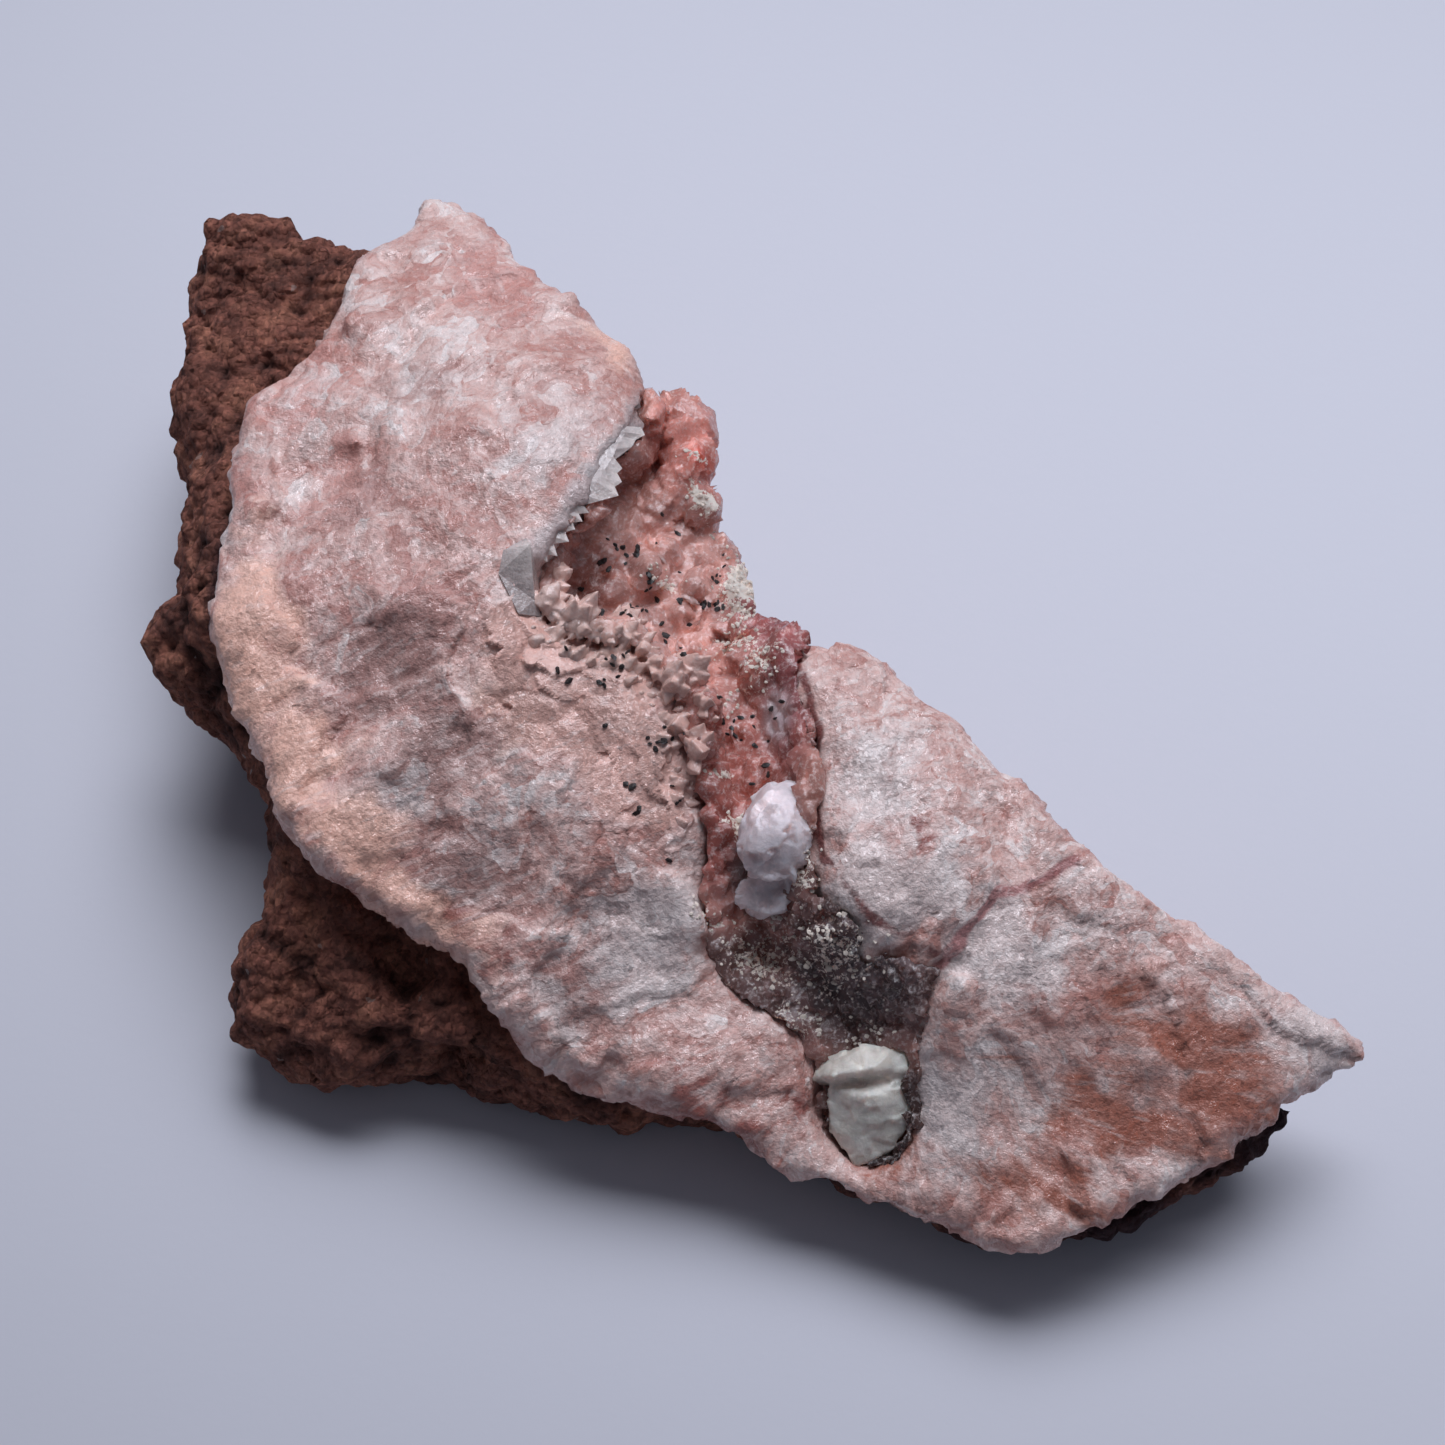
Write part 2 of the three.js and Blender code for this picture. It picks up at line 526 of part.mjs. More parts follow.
// The druse: quartz points on a jittered grid over the vug's floor, leaning with its slope.
function druseCrystals() {
  const crystals = [];
  for (let column = -6; column <= 6; column++) {
    for (let row = -14; row <= 9; row++) {
      const x = (column + 0.8 * (chance(column, row, 11) - 0.5) + (row % 2) / 2) * druseSpacing;
      const y = (row + 0.8 * (chance(column, row, 12) - 0.5)) * druseSpacing;
      if (mouthDistance(x, y) > -1.6 || rimDistance(x, y) > -1.4) continue;
      const z = crustTop(x, y);
      const slopeX = (crustTop(x + 1.5, y) - crustTop(x - 1.5, y)) / 3;
      const slopeY = (crustTop(x, y + 1.5) - crustTop(x, y - 1.5)) / 3;
      const size = lerp(1.9, 2.9, chance(column, row, 13)) * (y < -34 ? 0.7 : 1);
      crystals.push(
        quartzPoint({
          at: [x, y, z + 0.5],
          axis: [
            clamp(-slopeX, -0.8, 0.8) + 0.5 * (chance(column, row, 14) - 0.5),
            clamp(-slopeY, -0.8, 0.8) + 0.5 * (chance(column, row, 15) - 0.5),
            1,
          ],
          radius: size,
          tip: size * lerp(0.8, 1.15, chance(column, row, 16)),
          spin: chance(column, row, 17) * Math.PI,
        }),
      );
    }
  }
  return crystals;
}

// Rounded crystals stacked where the vug breaks out of the upper right side.
const breakoutCrystals = [
  { at: [-6.1, 25.3, 29], axis: [0.1, 0.2, 1], radius: 3.1, prism: 3, tip: 1.4, spin: 0.3 },
  { at: [-5.4, 21.3, 28.5], axis: [0.2, -0.1, 1], radius: 2.8, prism: 2.6, tip: 1.5, spin: 0.7 },
  { at: [-6.8, 18.5, 28], axis: [0.1, -0.3, 1], radius: 2.6, prism: 1.8, tip: 1.6, spin: 0.1 },
  { at: [-4.4, 17.5, 27], axis: [0.2, 0, 1], radius: 2.2, prism: 1.6, tip: 1.4, spin: 0.5 },
];

// Clear points along the lip, from its outer end to the large smoky point at the inner end.
const lipLine = [
  [-7.6, 22.4, 34.8], [-9.2, 19.4, 35.6], [-11, 16.8, 36], [-11.8, 13.4, 36.5], [-12.6, 10.4, 36.8],
  [-14.8, 8.8, 36.6], [-16.6, 6.8, 36.2], [-18.4, 4.8, 35.8],
];
const lipPointSpacing = 2.5;
const smokyPoint = {
  at: [-19.6, 4.6, 36.6],
  axis: [0.25, -1, -0.4],
  radius: 2.3,
  prism: 1.2,
  tip: 4.4,
  spin: 0.2,
};

function lipCrystals() {
  const line = new THREE.CatmullRomCurve3(lipLine.map((point) => new THREE.Vector3(...point)));
  const steps = Math.round(line.getLength() / lipPointSpacing);
  const crystals = [];
  for (let n = 0; n <= steps; n++) {
    const at = line.getPointAt(n / steps);
    const along = line.getTangentAt(n / steps);
    const radius = lerp(1.7, 2.4, chance(n, 0, 21));
    crystals.push(
      quartzPoint({
        at: [at.x, at.y, at.z + 0.6 * (chance(n, 0, 22) - 0.5)],
        axis: [-along.y + 0.5 * (chance(n, 0, 23) - 0.5), along.x + 0.5 * (chance(n, 0, 24) - 0.5), -0.25],
        radius,
        tip: lerp(2.2, 3.2, chance(n, 0, 25)),
        spin: chance(n, 0, 26),
      }),
    );
  }
  crystals.push(quartzPoint(smokyPoint));
  return crystals;
}

// Blocky fragments that grew on the druse, as the corners of their cleavage blocks.
const paleCalciteBlocks = [
  [[6.6, -40.3, 13.5], [8, -38.6, 15], [12, -37.8, 17.5], [16, -38.2, 17.5], [16.4, -40.6, 16.6],
   [12, -41.2, 18.2], [8.6, -41.3, 17], [8, -40.5, 12.6], [15.6, -41, 12.6]],
  [[8.4, -41.4, 14.5], [16.2, -40.8, 16], [17, -44, 14], [15, -46.6, 11.5], [11, -48, 10],
   [9, -45.5, 11], [12.5, -43.2, 16.4], [9, -41.5, 11], [16, -41.5, 11], [14, -46.5, 8.6]],
];
const milkyQuartzBlocks = [
  [[0, -20, 29.5], [2.8, -15.6, 29], [6, -16.4, 29.5], [7.2, -22, 29], [5.2, -26, 28],
   [0.4, -24.8, 28], [3, -19.5, 32], [4.8, -21.6, 31.8], [1.6, -22, 31.4], [3.5, -21, 22]],
  [[0, -24.6, 25.6], [2.4, -24, 27.6], [5, -25, 27], [4.6, -27, 25], [2, -27.6, 24.4], [0, -26.6, 24.2],
   [2.5, -25.4, 20]],
];

function blockOf(corners) {
  return solidOf(new ConvexGeometry(corners.map((corner) => new THREE.Vector3(...corner))));
}

// ---- the solids ----

const wholeBox = [[-68, -64, -10], [68, 64, 50]];
const vugBox = [[-32, -62, -8], [32, 46, 52]];
const calciteMass = facetedSolid(calciteField, wholeBox, calciteCell, calciteFacets);
const calcite = largestOf(joined([calciteMass, ...scales.map(scalePlate)]));
const calciteWithGap = grown(calcite, gap);
const belowFloor = solidOf(new THREE.BoxGeometry(200, 200, 20)).translate([0, 0, restFlat - 10]);
const hostMass = facetedSolid(hostField, wholeBox, hostCell, hostFacets);
const hostRock = largestOf(hostMass.subtract(calciteWithGap).subtract(belowFloor));
const crust = facetedSolid(crustField, vugBox, druseCell, crustFacets);
const walls = calciteWithGap.add(grown(hostRock, gap));
const paleCalciteMass = joined(paleCalciteBlocks.map(blockOf));
const milkyQuartzMass = joined(milkyQuartzBlocks.map(blockOf));
const grownOnCrust = [paleCalciteMass, milkyQuartzMass, joined(lipCrystals())];
const [paleCalcite, milkyQuartz, lip] = grownOnCrust.map((solid) => largestOf(solid.subtract(walls)));
const druseMass = joined([crust, ...druseCrystals(), ...breakoutCrystals.map(quartzPoint)]);
let druse = druseMass.subtract(walls);
for (const solid of grownOnCrust) druse = druse.subtract(grown(solid, gap));
druse = largestOf(druse);

function makeMesh(name, solid, look) {
  const mesh = new THREE.Mesh(geometryOf(solid), new THREE.MeshStandardMaterial(look));
  mesh.name = name;
  return mesh;
}

const clear = { transparent: true, opacity: 0.6 };
const cloudy = { transparent: true, opacity: 0.85 };
const specimen = new THREE.Group();
specimen.add(
  makeMesh("host_rock", hostRock, { color: 0x6b4036, roughness: 0.95, metalness: 0 }),
  makeMesh("pink_calcite", calcite, { color: 0xcfa79c, roughness: 0.6, metalness: 0 }),
  makeMesh("vug_quartz_crust", druse, { color: 0x9a5c50, roughness: 0.3, metalness: 0 }),
  makeMesh("lip_quartz_points", lip, { color: 0xd8d6da, roughness: 0.12, metalness: 0, ...clear }),
  makeMesh("pale_calcite_crystal", paleCalcite, { color: 0xc6cfbe, roughness: 0.3, metalness: 0, ...cloudy }),
  makeMesh("milky_quartz_crystal", milkyQuartz, { color: 0xd9d3d9, roughness: 0.35, metalness: 0, ...cloudy }),
);

// The origin is under the middle of the specimen, on the surface that it lies on.
const middle = new THREE.Box3().setFromObject(specimen).getCenter(new THREE.Vector3());
specimen.position.set(-middle.x, -middle.y, -restFlat);

export default specimen;
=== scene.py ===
import math
from functools import partial

import bmesh
import bpy
import numpy as np
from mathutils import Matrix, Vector
from mathutils.bvhtree import BVHTree
from mathutils.kdtree import KDTree


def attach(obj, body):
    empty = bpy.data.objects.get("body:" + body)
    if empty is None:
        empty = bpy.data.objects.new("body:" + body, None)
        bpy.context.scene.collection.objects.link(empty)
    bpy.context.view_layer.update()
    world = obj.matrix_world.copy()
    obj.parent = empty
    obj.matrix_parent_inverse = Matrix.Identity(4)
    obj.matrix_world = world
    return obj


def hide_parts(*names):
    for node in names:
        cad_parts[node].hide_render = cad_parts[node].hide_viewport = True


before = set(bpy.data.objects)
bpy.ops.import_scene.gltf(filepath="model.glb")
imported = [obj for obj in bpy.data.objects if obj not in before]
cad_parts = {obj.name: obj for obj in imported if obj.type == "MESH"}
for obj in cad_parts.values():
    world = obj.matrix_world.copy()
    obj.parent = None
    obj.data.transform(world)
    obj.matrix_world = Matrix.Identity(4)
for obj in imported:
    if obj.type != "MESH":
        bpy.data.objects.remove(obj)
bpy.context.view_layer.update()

scene = bpy.context.scene
mm = 0.001
skyHeight = 0.06                     # metres, above every part of the specimen
sixth = math.pi / 3                  # a sixth of a turn, between two faces of a quartz crystal
sideways = [0.31, 0.67, 0.42]        # any direction that no crystal points in
print("frame loaded")


# small helpers shared by the pieces

def linear(hexColour):
    parts = [int(hexColour[i:i + 2], 16) / 255 for i in (1, 3, 5)]
    parts = [c / 12.92 if c <= 0.04045 else ((c + 0.055) / 1.055) ** 2.4 for c in parts]
    return (*parts, 1.0)


def tintOf(hexColour):
    return np.array(linear(hexColour)[:3])


def addNode(tree, kind, inputs=None, stops=(), **settings):
    # each input is a value or an output of another node, and a ramp's stops come with both ends
    # first; gives the new node's outputs
    node = tree.nodes.new("ShaderNode" + kind)
    for name, value in settings.items():
        setattr(node, name, value)
    for socket, value in (inputs or {}).items():
        if isinstance(value, bpy.types.NodeSocket):
            tree.links.new(value, node.inputs[socket])
        else:
            node.inputs[socket].default_value = value
    for index, (place, hexColour) in enumerate(stops):
        ramp = node.color_ramp.elements
        stop = ramp[index] if index < 2 else ramp.new(place)
        stop.position = place
        stop.color = linear(hexColour)
    return node.outputs


def newMaterial(name):
    # an empty material, addNode for its own tree, and the place on the piece in mm
    material = bpy.data.materials.new(name)
    material.use_nodes = True
    material.node_tree.nodes.clear()
    add = partial(addNode, material.node_tree)
    metres = add("TexCoord")["Object"]
    place = add("VectorMath", {0: metres, 1: (1000,) * 3}, operation="MULTIPLY")[0]
    return material, add, place


def store(mesh, name, values):
    values = np.asarray(values, np.float32)
    kind, field = ("FLOAT", "value") if values.ndim == 1 else ("FLOAT_VECTOR", "vector")
    mesh.attributes.new(name, kind, "POINT").data.foreach_set(field, values.ravel())


def readOut(items, name, width, kind=np.float32):
    flat = np.empty(len(items) * width, kind)
    items.foreach_get(name, flat)
    return flat.reshape(-1, width)


def pointsOf(mesh):
    return readOut(mesh.vertices, "co", 3).astype(float) / mm


def normalsOf(mesh):
    return readOut(mesh.vertex_normals, "vector", 3).astype(float)


def edgesOf(mesh):
    return readOut(mesh.edges, "vertices", 2, np.int32)


def setPoints(mesh, points):
    mesh.vertices.foreach_set("co", (points * mm).astype(np.float32).ravel())
    mesh.update()


def pushOut(mesh, points, normals, lift):
    # move the points along their normals, but never below the floor
    moved = points + normals * lift[:, None]
    moved[:, 2] = np.maximum(moved[:, 2], 0)
    setPoints(mesh, moved)
    return moved


def unit(vectors):
    return vectors / np.maximum(np.linalg.norm(vectors, axis=-1, keepdims=True), 1e-9)


def smoothstep(values, low, high):
    t = np.clip((values - low) / (high - low), 0, 1)
    return t * t * (3 - 2 * t)


def turned(x, y, angle):
    return x * math.cos(angle) - y * math.sin(angle), x * math.sin(angle) + y * math.cos(angle)


def blurred(values, edges, rounds, amount=0.6):
    count = len(values)
    ends = np.concatenate([edges[:, 0], edges[:, 1]])
    others = np.concatenate([edges[:, 1], edges[:, 0]])
    degree = np.maximum(np.bincount(ends, minlength=count), 1)
    columns = values.reshape(count, -1).copy()
    for _ in range(rounds):
        mean = np.stack([np.bincount(ends, columns[others, k], count) / degree
                         for k in range(columns.shape[1])], 1)
        columns += amount * (mean - columns)
    return columns.reshape(values.shape)


def hashed(cells, seed):
    # a repeatable number from 0 to 1 for each whole-numbered cell
    n = cells[..., 0] * 73856093 ^ cells[..., 1] * 19349663
    n = n ^ cells[..., 2] * 83492791 ^ (seed * 97531 + 7)
    n = ((n ^ (n >> 15)) * 224682251) & 0xFFFFFFFF
    n = ((n ^ (n >> 13)) * 326648991) & 0xFFFFFFFF
    return ((n ^ (n >> 16)) & 0xFFFFFF) / 16777216.0


def softNoise(points, size, seed, octaves=1):
    # smooth noise from about -1 to 1, its largest waves "size" mm long
    total, strength = np.zeros(len(points)), 1.0
    for octave in range(octaves):
        scaled = points / size * 2 ** octave
        base = np.floor(scaled).astype(np.int64)
        part = scaled - base
        part = part * part * (3 - 2 * part)
        for corner in np.ndindex(2, 2, 2):
            side = np.array(corner)
            weight = np.prod(np.where(side == 1, part, 1 - part), axis=1)
            total += strength * weight * (hashed(base + side, seed + octave * 11) * 2 - 1)
        strength *= 0.5
    return total


def softShift(points, size, seed, octaves=2):
    return np.stack([softNoise(points, size, seed + k, octaves) for k in range(3)], 1)


def chipped(points, size, seed, slope, step, lean=None):
    # flat chips: each cell is a tilted plane of its own, so neighbours meet in a small step;
    # gives the height, the distance from the cell's middle and a tone from 0 to 1
    scaled = points / size
    base = np.floor(scaled).astype(np.int64)
    nearest = np.full(len(points), 9.0)
    height = np.zeros(len(points))
    tone = np.zeros(len(points))
    for shift in np.ndindex(3, 3, 3):
        cell = base + np.array(shift) - 1
        away = scaled - cell - np.stack([hashed(cell, seed + k) for k in range(3)], 1)
        distance = np.linalg.norm(away, axis=1)
        tilt = np.stack([hashed(cell, seed + 3 + k) for k in range(3)], 1) * 2 - 1
        if lean is not None:
            tilt = tilt * 0.6 + lean
        plane = step * (hashed(cell, seed + 6) * 2 - 1) + slope * size * (away * tilt).sum(1)
        nearer = distance < nearest
        height = np.where(nearer, plane, height)
        tone = np.where(nearer, hashed(cell, seed + 7), tone)
        nearest = np.where(nearer, distance, nearest)
    return height, nearest * size, tone


def patchAmount(points, patches):
    # soft ovals seen from above: x, y, half length, half width, turn in degrees, strength
    total = np.zeros(len(points))
    for x, y, long, wide, turn, strength in patches:
        along, across = turned(points[:, 0] - x, points[:, 1] - y, math.radians(-turn))
        amount = strength * np.exp(-1.3 * ((along / long) ** 2 + (across / wide) ** 2))
        total = np.maximum(total, amount)
    return total


def lineDistance(points, line):
    best = np.full(len(points), 99.0)
    for start, end in zip(line, line[1:]):
        a, b = np.array(start, float), np.array(end, float)
        t = np.clip(((points[:, :2] - a) @ (b - a)) / ((b - a) @ (b - a)), 0, 1)
        best = np.minimum(best, np.linalg.norm(points[:, :2] - a - t[:, None] * (b - a), axis=1))
    return best


def skinOf(piece, voxel):
    # one evenly meshed skin around a piece, which is then dropped
    scene.collection.objects.link(piece)
    skin = piece.modifiers.new("skin", "REMESH")
    skin.mode = "VOXEL"
    skin.voxel_size = voxel * mm
    skin.use_smooth_shade = True
    finished = piece.evaluated_get(bpy.context.evaluated_depsgraph_get())
    mesh = bpy.data.meshes.new_from_object(finished)
    bpy.data.objects.remove(piece)
    return mesh


def remeshed(nodeName, voxel, rounds):
    # an evenly meshed and softened copy of a CAD solid, ready to be worked on, and its points
    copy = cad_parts[nodeName].copy()
    copy.data = copy.data.copy()
    mesh = skinOf(copy, voxel)
    points = blurred(pointsOf(mesh), edgesOf(mesh), rounds)
    setPoints(mesh, points)
    return mesh, points


def refine(mesh, chosen):
    # a finer mesh where the chosen points are
    work = bmesh.new()
    work.from_mesh(mesh)
    edges = [edge for edge in work.edges if all(chosen[end.index] for end in edge.verts)]
    bmesh.ops.subdivide_edges(work, edges=edges, cuts=1, use_grid_fill=True)
    work.to_mesh(mesh)
    work.free()


def searchTree(*pieces):
    # for the nearest face, or the first one below a place
    corners, faces = [], []
    for piece in pieces:
        start = len(corners)
        corners += [v.co[:] for v in piece.data.vertices]
        faces += [tuple(start + v for v in p.vertices) for p in piece.data.polygons]
    return BVHTree.FromPolygons(corners, faces)


def distanceTo(points, tree, most=6.0):
    distances = np.full(len(points), most)
    for index, point in enumerate(points * mm):
        found = tree.find_nearest(point, most * mm)
        if found[3] is not None:
            distances[index] = found[3] / mm
    return distances


def dropped(tree, x, y):
    # where something let fall at x, y comes to rest, in mm
    hit = tree.ray_cast(Vector((x * mm, y * mm, skyHeight)), Vector((0, 0, -1)))[0]
    return None if hit is None else np.array(hit) / mm


def addPiece(name, mesh, material, nodes=()):
    mesh.name = name
    mesh.materials.clear()
    mesh.materials.append(material)
    piece = bpy.data.objects.new(name, mesh)
    scene.collection.objects.link(piece)
    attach(piece, "root")
    if nodes:
        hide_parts(*nodes)
    return piece


def scatter(points, chance, spacing, seed):
    # indices of points kept at least "spacing" apart, more of them where chance is high
    rng = np.random.default_rng(seed)
    order = rng.permutation(np.nonzero(rng.random(len(points)) < chance)[0])
    taken, kept = {}, []
    for index in order:
        key = tuple(np.floor(points[index] / spacing).astype(int))
        near = [j for shift in np.ndindex(3, 3, 3)
                for j in taken.get(tuple(np.add(key, shift) - 1), ())]
        if all(np.linalg.norm(points[j] - points[index]) > spacing for j in near):
            taken.setdefault(key, []).append(index)
            kept.append(index)
    return kept


def drusyLift(points, normals, kept, slope, tip, lean, seed):
    # a druse's outer skin: every kept point is the foot of a sunken six-sided crystal end with
    # its tip some mm above, and along each normal the highest end shows; gives the lift, the
    # facet's normal and the crystal
    rng = np.random.default_rng(seed)
    count = len(kept)
    axes = unit(normals[kept] + rng.normal(0, lean, (count, 3)))
    side = unit(np.cross(axes, sideways))
    other = np.cross(axes, side)
    angles = rng.uniform(0, sixth, count) + np.arange(6)[:, None] * sixth
    steep = rng.uniform(*slope, (6, count))
    spread = side * np.cos(angles)[..., None] + other * np.sin(angles)[..., None]
    planes = axes + steep[..., None] * spread
    tips = rng.uniform(*tip, count) + rng.uniform(-0.12, 0.12, (6, count))
    tree = KDTree(count)
    for index, vertex in enumerate(kept):
        tree.insert(points[vertex], index)
    tree.balance()
    near = np.array([[found[1] for found in tree.find_n(point, 7)] for point in points])
    away = points[:, None] - points[kept][near]
    best = np.full(near.shape, 99.0)
    face = np.zeros(near.shape, int)
    for k in range(6):
        facing = planes[k][near]
        along = np.maximum((facing * normals[:, None]).sum(-1), 0.25)
        reach = (tips[k][near] - (facing * away).sum(-1)) / along
        face = np.where(reach < best, k, face)
        best = np.minimum(best, reach)
    # a crystal on the far side of an edge or wall does not reach round it
    facingAway = (axes[near] * normals[:, None]).sum(-1) < 0.5
    best = np.where(facingAway, best - 50, best)
    rows = np.arange(len(points))
    owner = best.argmax(1)
    crystal = near[rows, owner]
    return best[rows, owner], unit(planes[face[rows, owner], crystal]), crystal


def shadeFacets(mesh, facets, amount):
    # flat crystal faces keep their own normals, so they stay crisp on an even mesh
    normals = normalsOf(mesh)
    amount = (amount * smoothstep((normals * facets).sum(1), 0.4, 0.75))[:, None]
    shown = unit(normals * (1 - amount) + facets * amount)
    mesh.normals_split_custom_set_from_vertices(shown.tolist())


def joinedMesh(name, corners, faces, tints=None):
    mesh = bpy.data.meshes.new(name)
    mesh.from_pydata([tuple(np.array(corner) * mm) for corner in corners], [], faces)
    mesh.update()
    if tints is not None:
        store(mesh, "tint", np.array(tints))
    return mesh


hostTree = searchTree(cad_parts["host_rock"])
calciteTree = searchTree(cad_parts["pink_calcite"])
crustTree = searchTree(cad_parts["vug_quartz_crust"])


# massive pink calcite

calciteSettings = {
    "voxel": 0.54,             # mm between mesh points
    "plateSize": 7.5,          # mm across the larger cleavage plates
    "plateStep": 0.2,
    "flakeSize": 3.0,          # mm across one flake, and the step to the next
    "flakeStep": 0.1,
    "crystalSpacing": 2.3,     # mm between the quartz ends in the basin
    # how steep the faces of those ends are, the height of their tips in mm, and their lean
    "crystalEnds": {"slope": (0.15, 0.34), "tip": (0.3, 0.6), "lean": 0.1, "seed": 17},
    "basinDepth": 1.3,
    "scatterDepth": 1.2,       # mm that light travels inside
    "frayWidth": 2.2,          # mm that the borders of the zones wander
    # soft ovals in mm: x, y, half length, half width, turn, strength
    # the ovals at x 19 to 55 mm and y -29 to -44 mm are partly painted light, paling lower-right
    # faces that tilt away from the lamp; the rest are the calcite's own whiter parts
    "white": [(-18, 18, 11, 7, 60, 0.8), (-29, 27, 6, 3, 30, 0.6), (-10, -29, 8, 7, 20, 1.1),
        (13, -17, 8, 10, 50, 0.85), (13, -27, 9, 6, 10, 1.2), (-26, -22, 6, 4, 20, 0.6),
        (24, -32, 9, 5, -20, 1), (19, -44, 7, 6, 0, 1), (55, -38, 8, 4, -35, 0.9),
        (-18, -35, 8, 3, -35, 0.8), (-40, 33, 5, 3, 30, 0.5), (33, -29, 8, 5, -30, 0.6),
        (-33, 45, 5, 4, 0, 0.5)],
    "salmon": [(-49, -2, 5.5, 11, 0, 1.1), (-44, -13, 6, 8, 30, 1), (-38, -21, 8, 5, -40, 1.1),
        (-23, -10, 6, 4, 0, 0.7), (-31, -27, 9, 4, -35, 0.9), (-13, 30, 3, 8, 30, 0.7),
        (-50, 12, 3, 6, 0, 0.5)],
    "rose": [(-25, 40, 9, 8, 0, 0.9), (-45, 25, 6, 6, 0, 0.8), (-41, 14, 6, 8, 0, 0.7),
        (-35, -2, 9, 6, 20, 0.6), (-50, 16, 4, 5, 0, 0.7), (-33, -10, 8, 4, 10, 0.5),
        (-18, -32, 8, 3, -30, 0.5)],
    "rust": [(42, -39, 9, 5, -20, 1), (46, -42, 8, 4, -30, 1), (35, -45, 11, 4, -15, 1),
        (28, -51, 9, 4, 0, 0.8), (50, -38, 5, 3, -30, 0.5), (14, -48, 4, 3, 0, 0.7),
        (41, -45, 13, 4, -25, 0.6)],
    "stain": [(-28, -28, 2, 4, 20, 0.7), (-23.6, -31, 1.5, 3, 20, 0.6), (-6, -43, 6, 2, -25, 0.9),
        (0, -47, 4, 1.5, -25, 0.7), (5, -43.5, 2, 3, 0, 0.7), (-18, -39, 3, 1, -30, 0.6),
        (17.6, -22, 0.9, 0.9, 0, 1)],
    "clear": [(-35, -5, 7, 6, 20, 0.9), (-29, -13, 9, 6, 20, 0.8), (-26, -24, 7, 5, 20, 0.6),
        (-15, -34, 6, 4, -30, 0.5), (-39, 12, 6, 8, 0, 0.5), (-34, 26, 6, 6, 0, 0.7)],
    "basin": [(-17, -7, 11, 9, -30, 1), (-11, -14, 8, 7, -50, 0.9)],
    "calm": [(14, -18, 10, 13, 50, 1)],
    # the line in the middle of the hollow that the fibres grew from: x, y, height in mm
    "fibreLine": [(-10, 12, 26), (11, -40, 20)],
    # lines on the face in mm, seen from above
    "rimLine": [(2.0, 3.4), (5.0, -2.6), (6.8, -10), (6.1, -18), (6.7, -23.4), (12.0, -29.8),
        (18.4, -32.4)],
    "lipLine": [(-8.6, 23.4), (-10.2, 19), (-12.8, 13.6), (-15.3, 9.6), (-18.2, 5.8), (-20.5, 3.5)],
    "veinLine": [(18.5, -32.8), (24.2, -27.8), (28.7, -25), (31.5, -24)],
    # colour of each zone, how far it frays along the flakes, and the most it covers
    # the white tint is partly painted light on the lower right, besides the calcite's own whiter
    # parts
    "tints": {"rose": ("#c98d83", -1.6, 0.6), "salmon": ("#f3bea8", 1.2, 0.85),
              "white": ("#ebdfda", 1.4, 0.68), "rust": ("#a35f4a", -1.2, 0.88),
              "stain": ("#8f473e", -1.4, 0.8), "clear": ("#a27f78", -1.4, 0.7),
              "glassy": ("#e0b2a4", 0.8, 0.8), "lipGlass": ("#bdb2b0", 0.8, 0.75),
              "vein": ("#a96a68", 1.2, 0.85), "darkVein": ("#743531", 1.6, 0.9),
              "selvage": ("#46292b", 0.8, 0.9)},
    # colour at each tone of the flakes, both ends first
    "shades": [(0.36, "#bd877c"), (0.66, "#eedfd9"), (0.46, "#d2a89e"), (0.55, "#e0bfb6")],
    "bruise": "#f2e2dc",
    # width of the flakes in mm, and how much each size adds to the tone and to the relief
    "flakes": [(7.0, 0.12, 0.6), (3.4, 0.2, 0.42), (1.6, 0.16, 0.22), (0.7, 0.15, 0)],
}


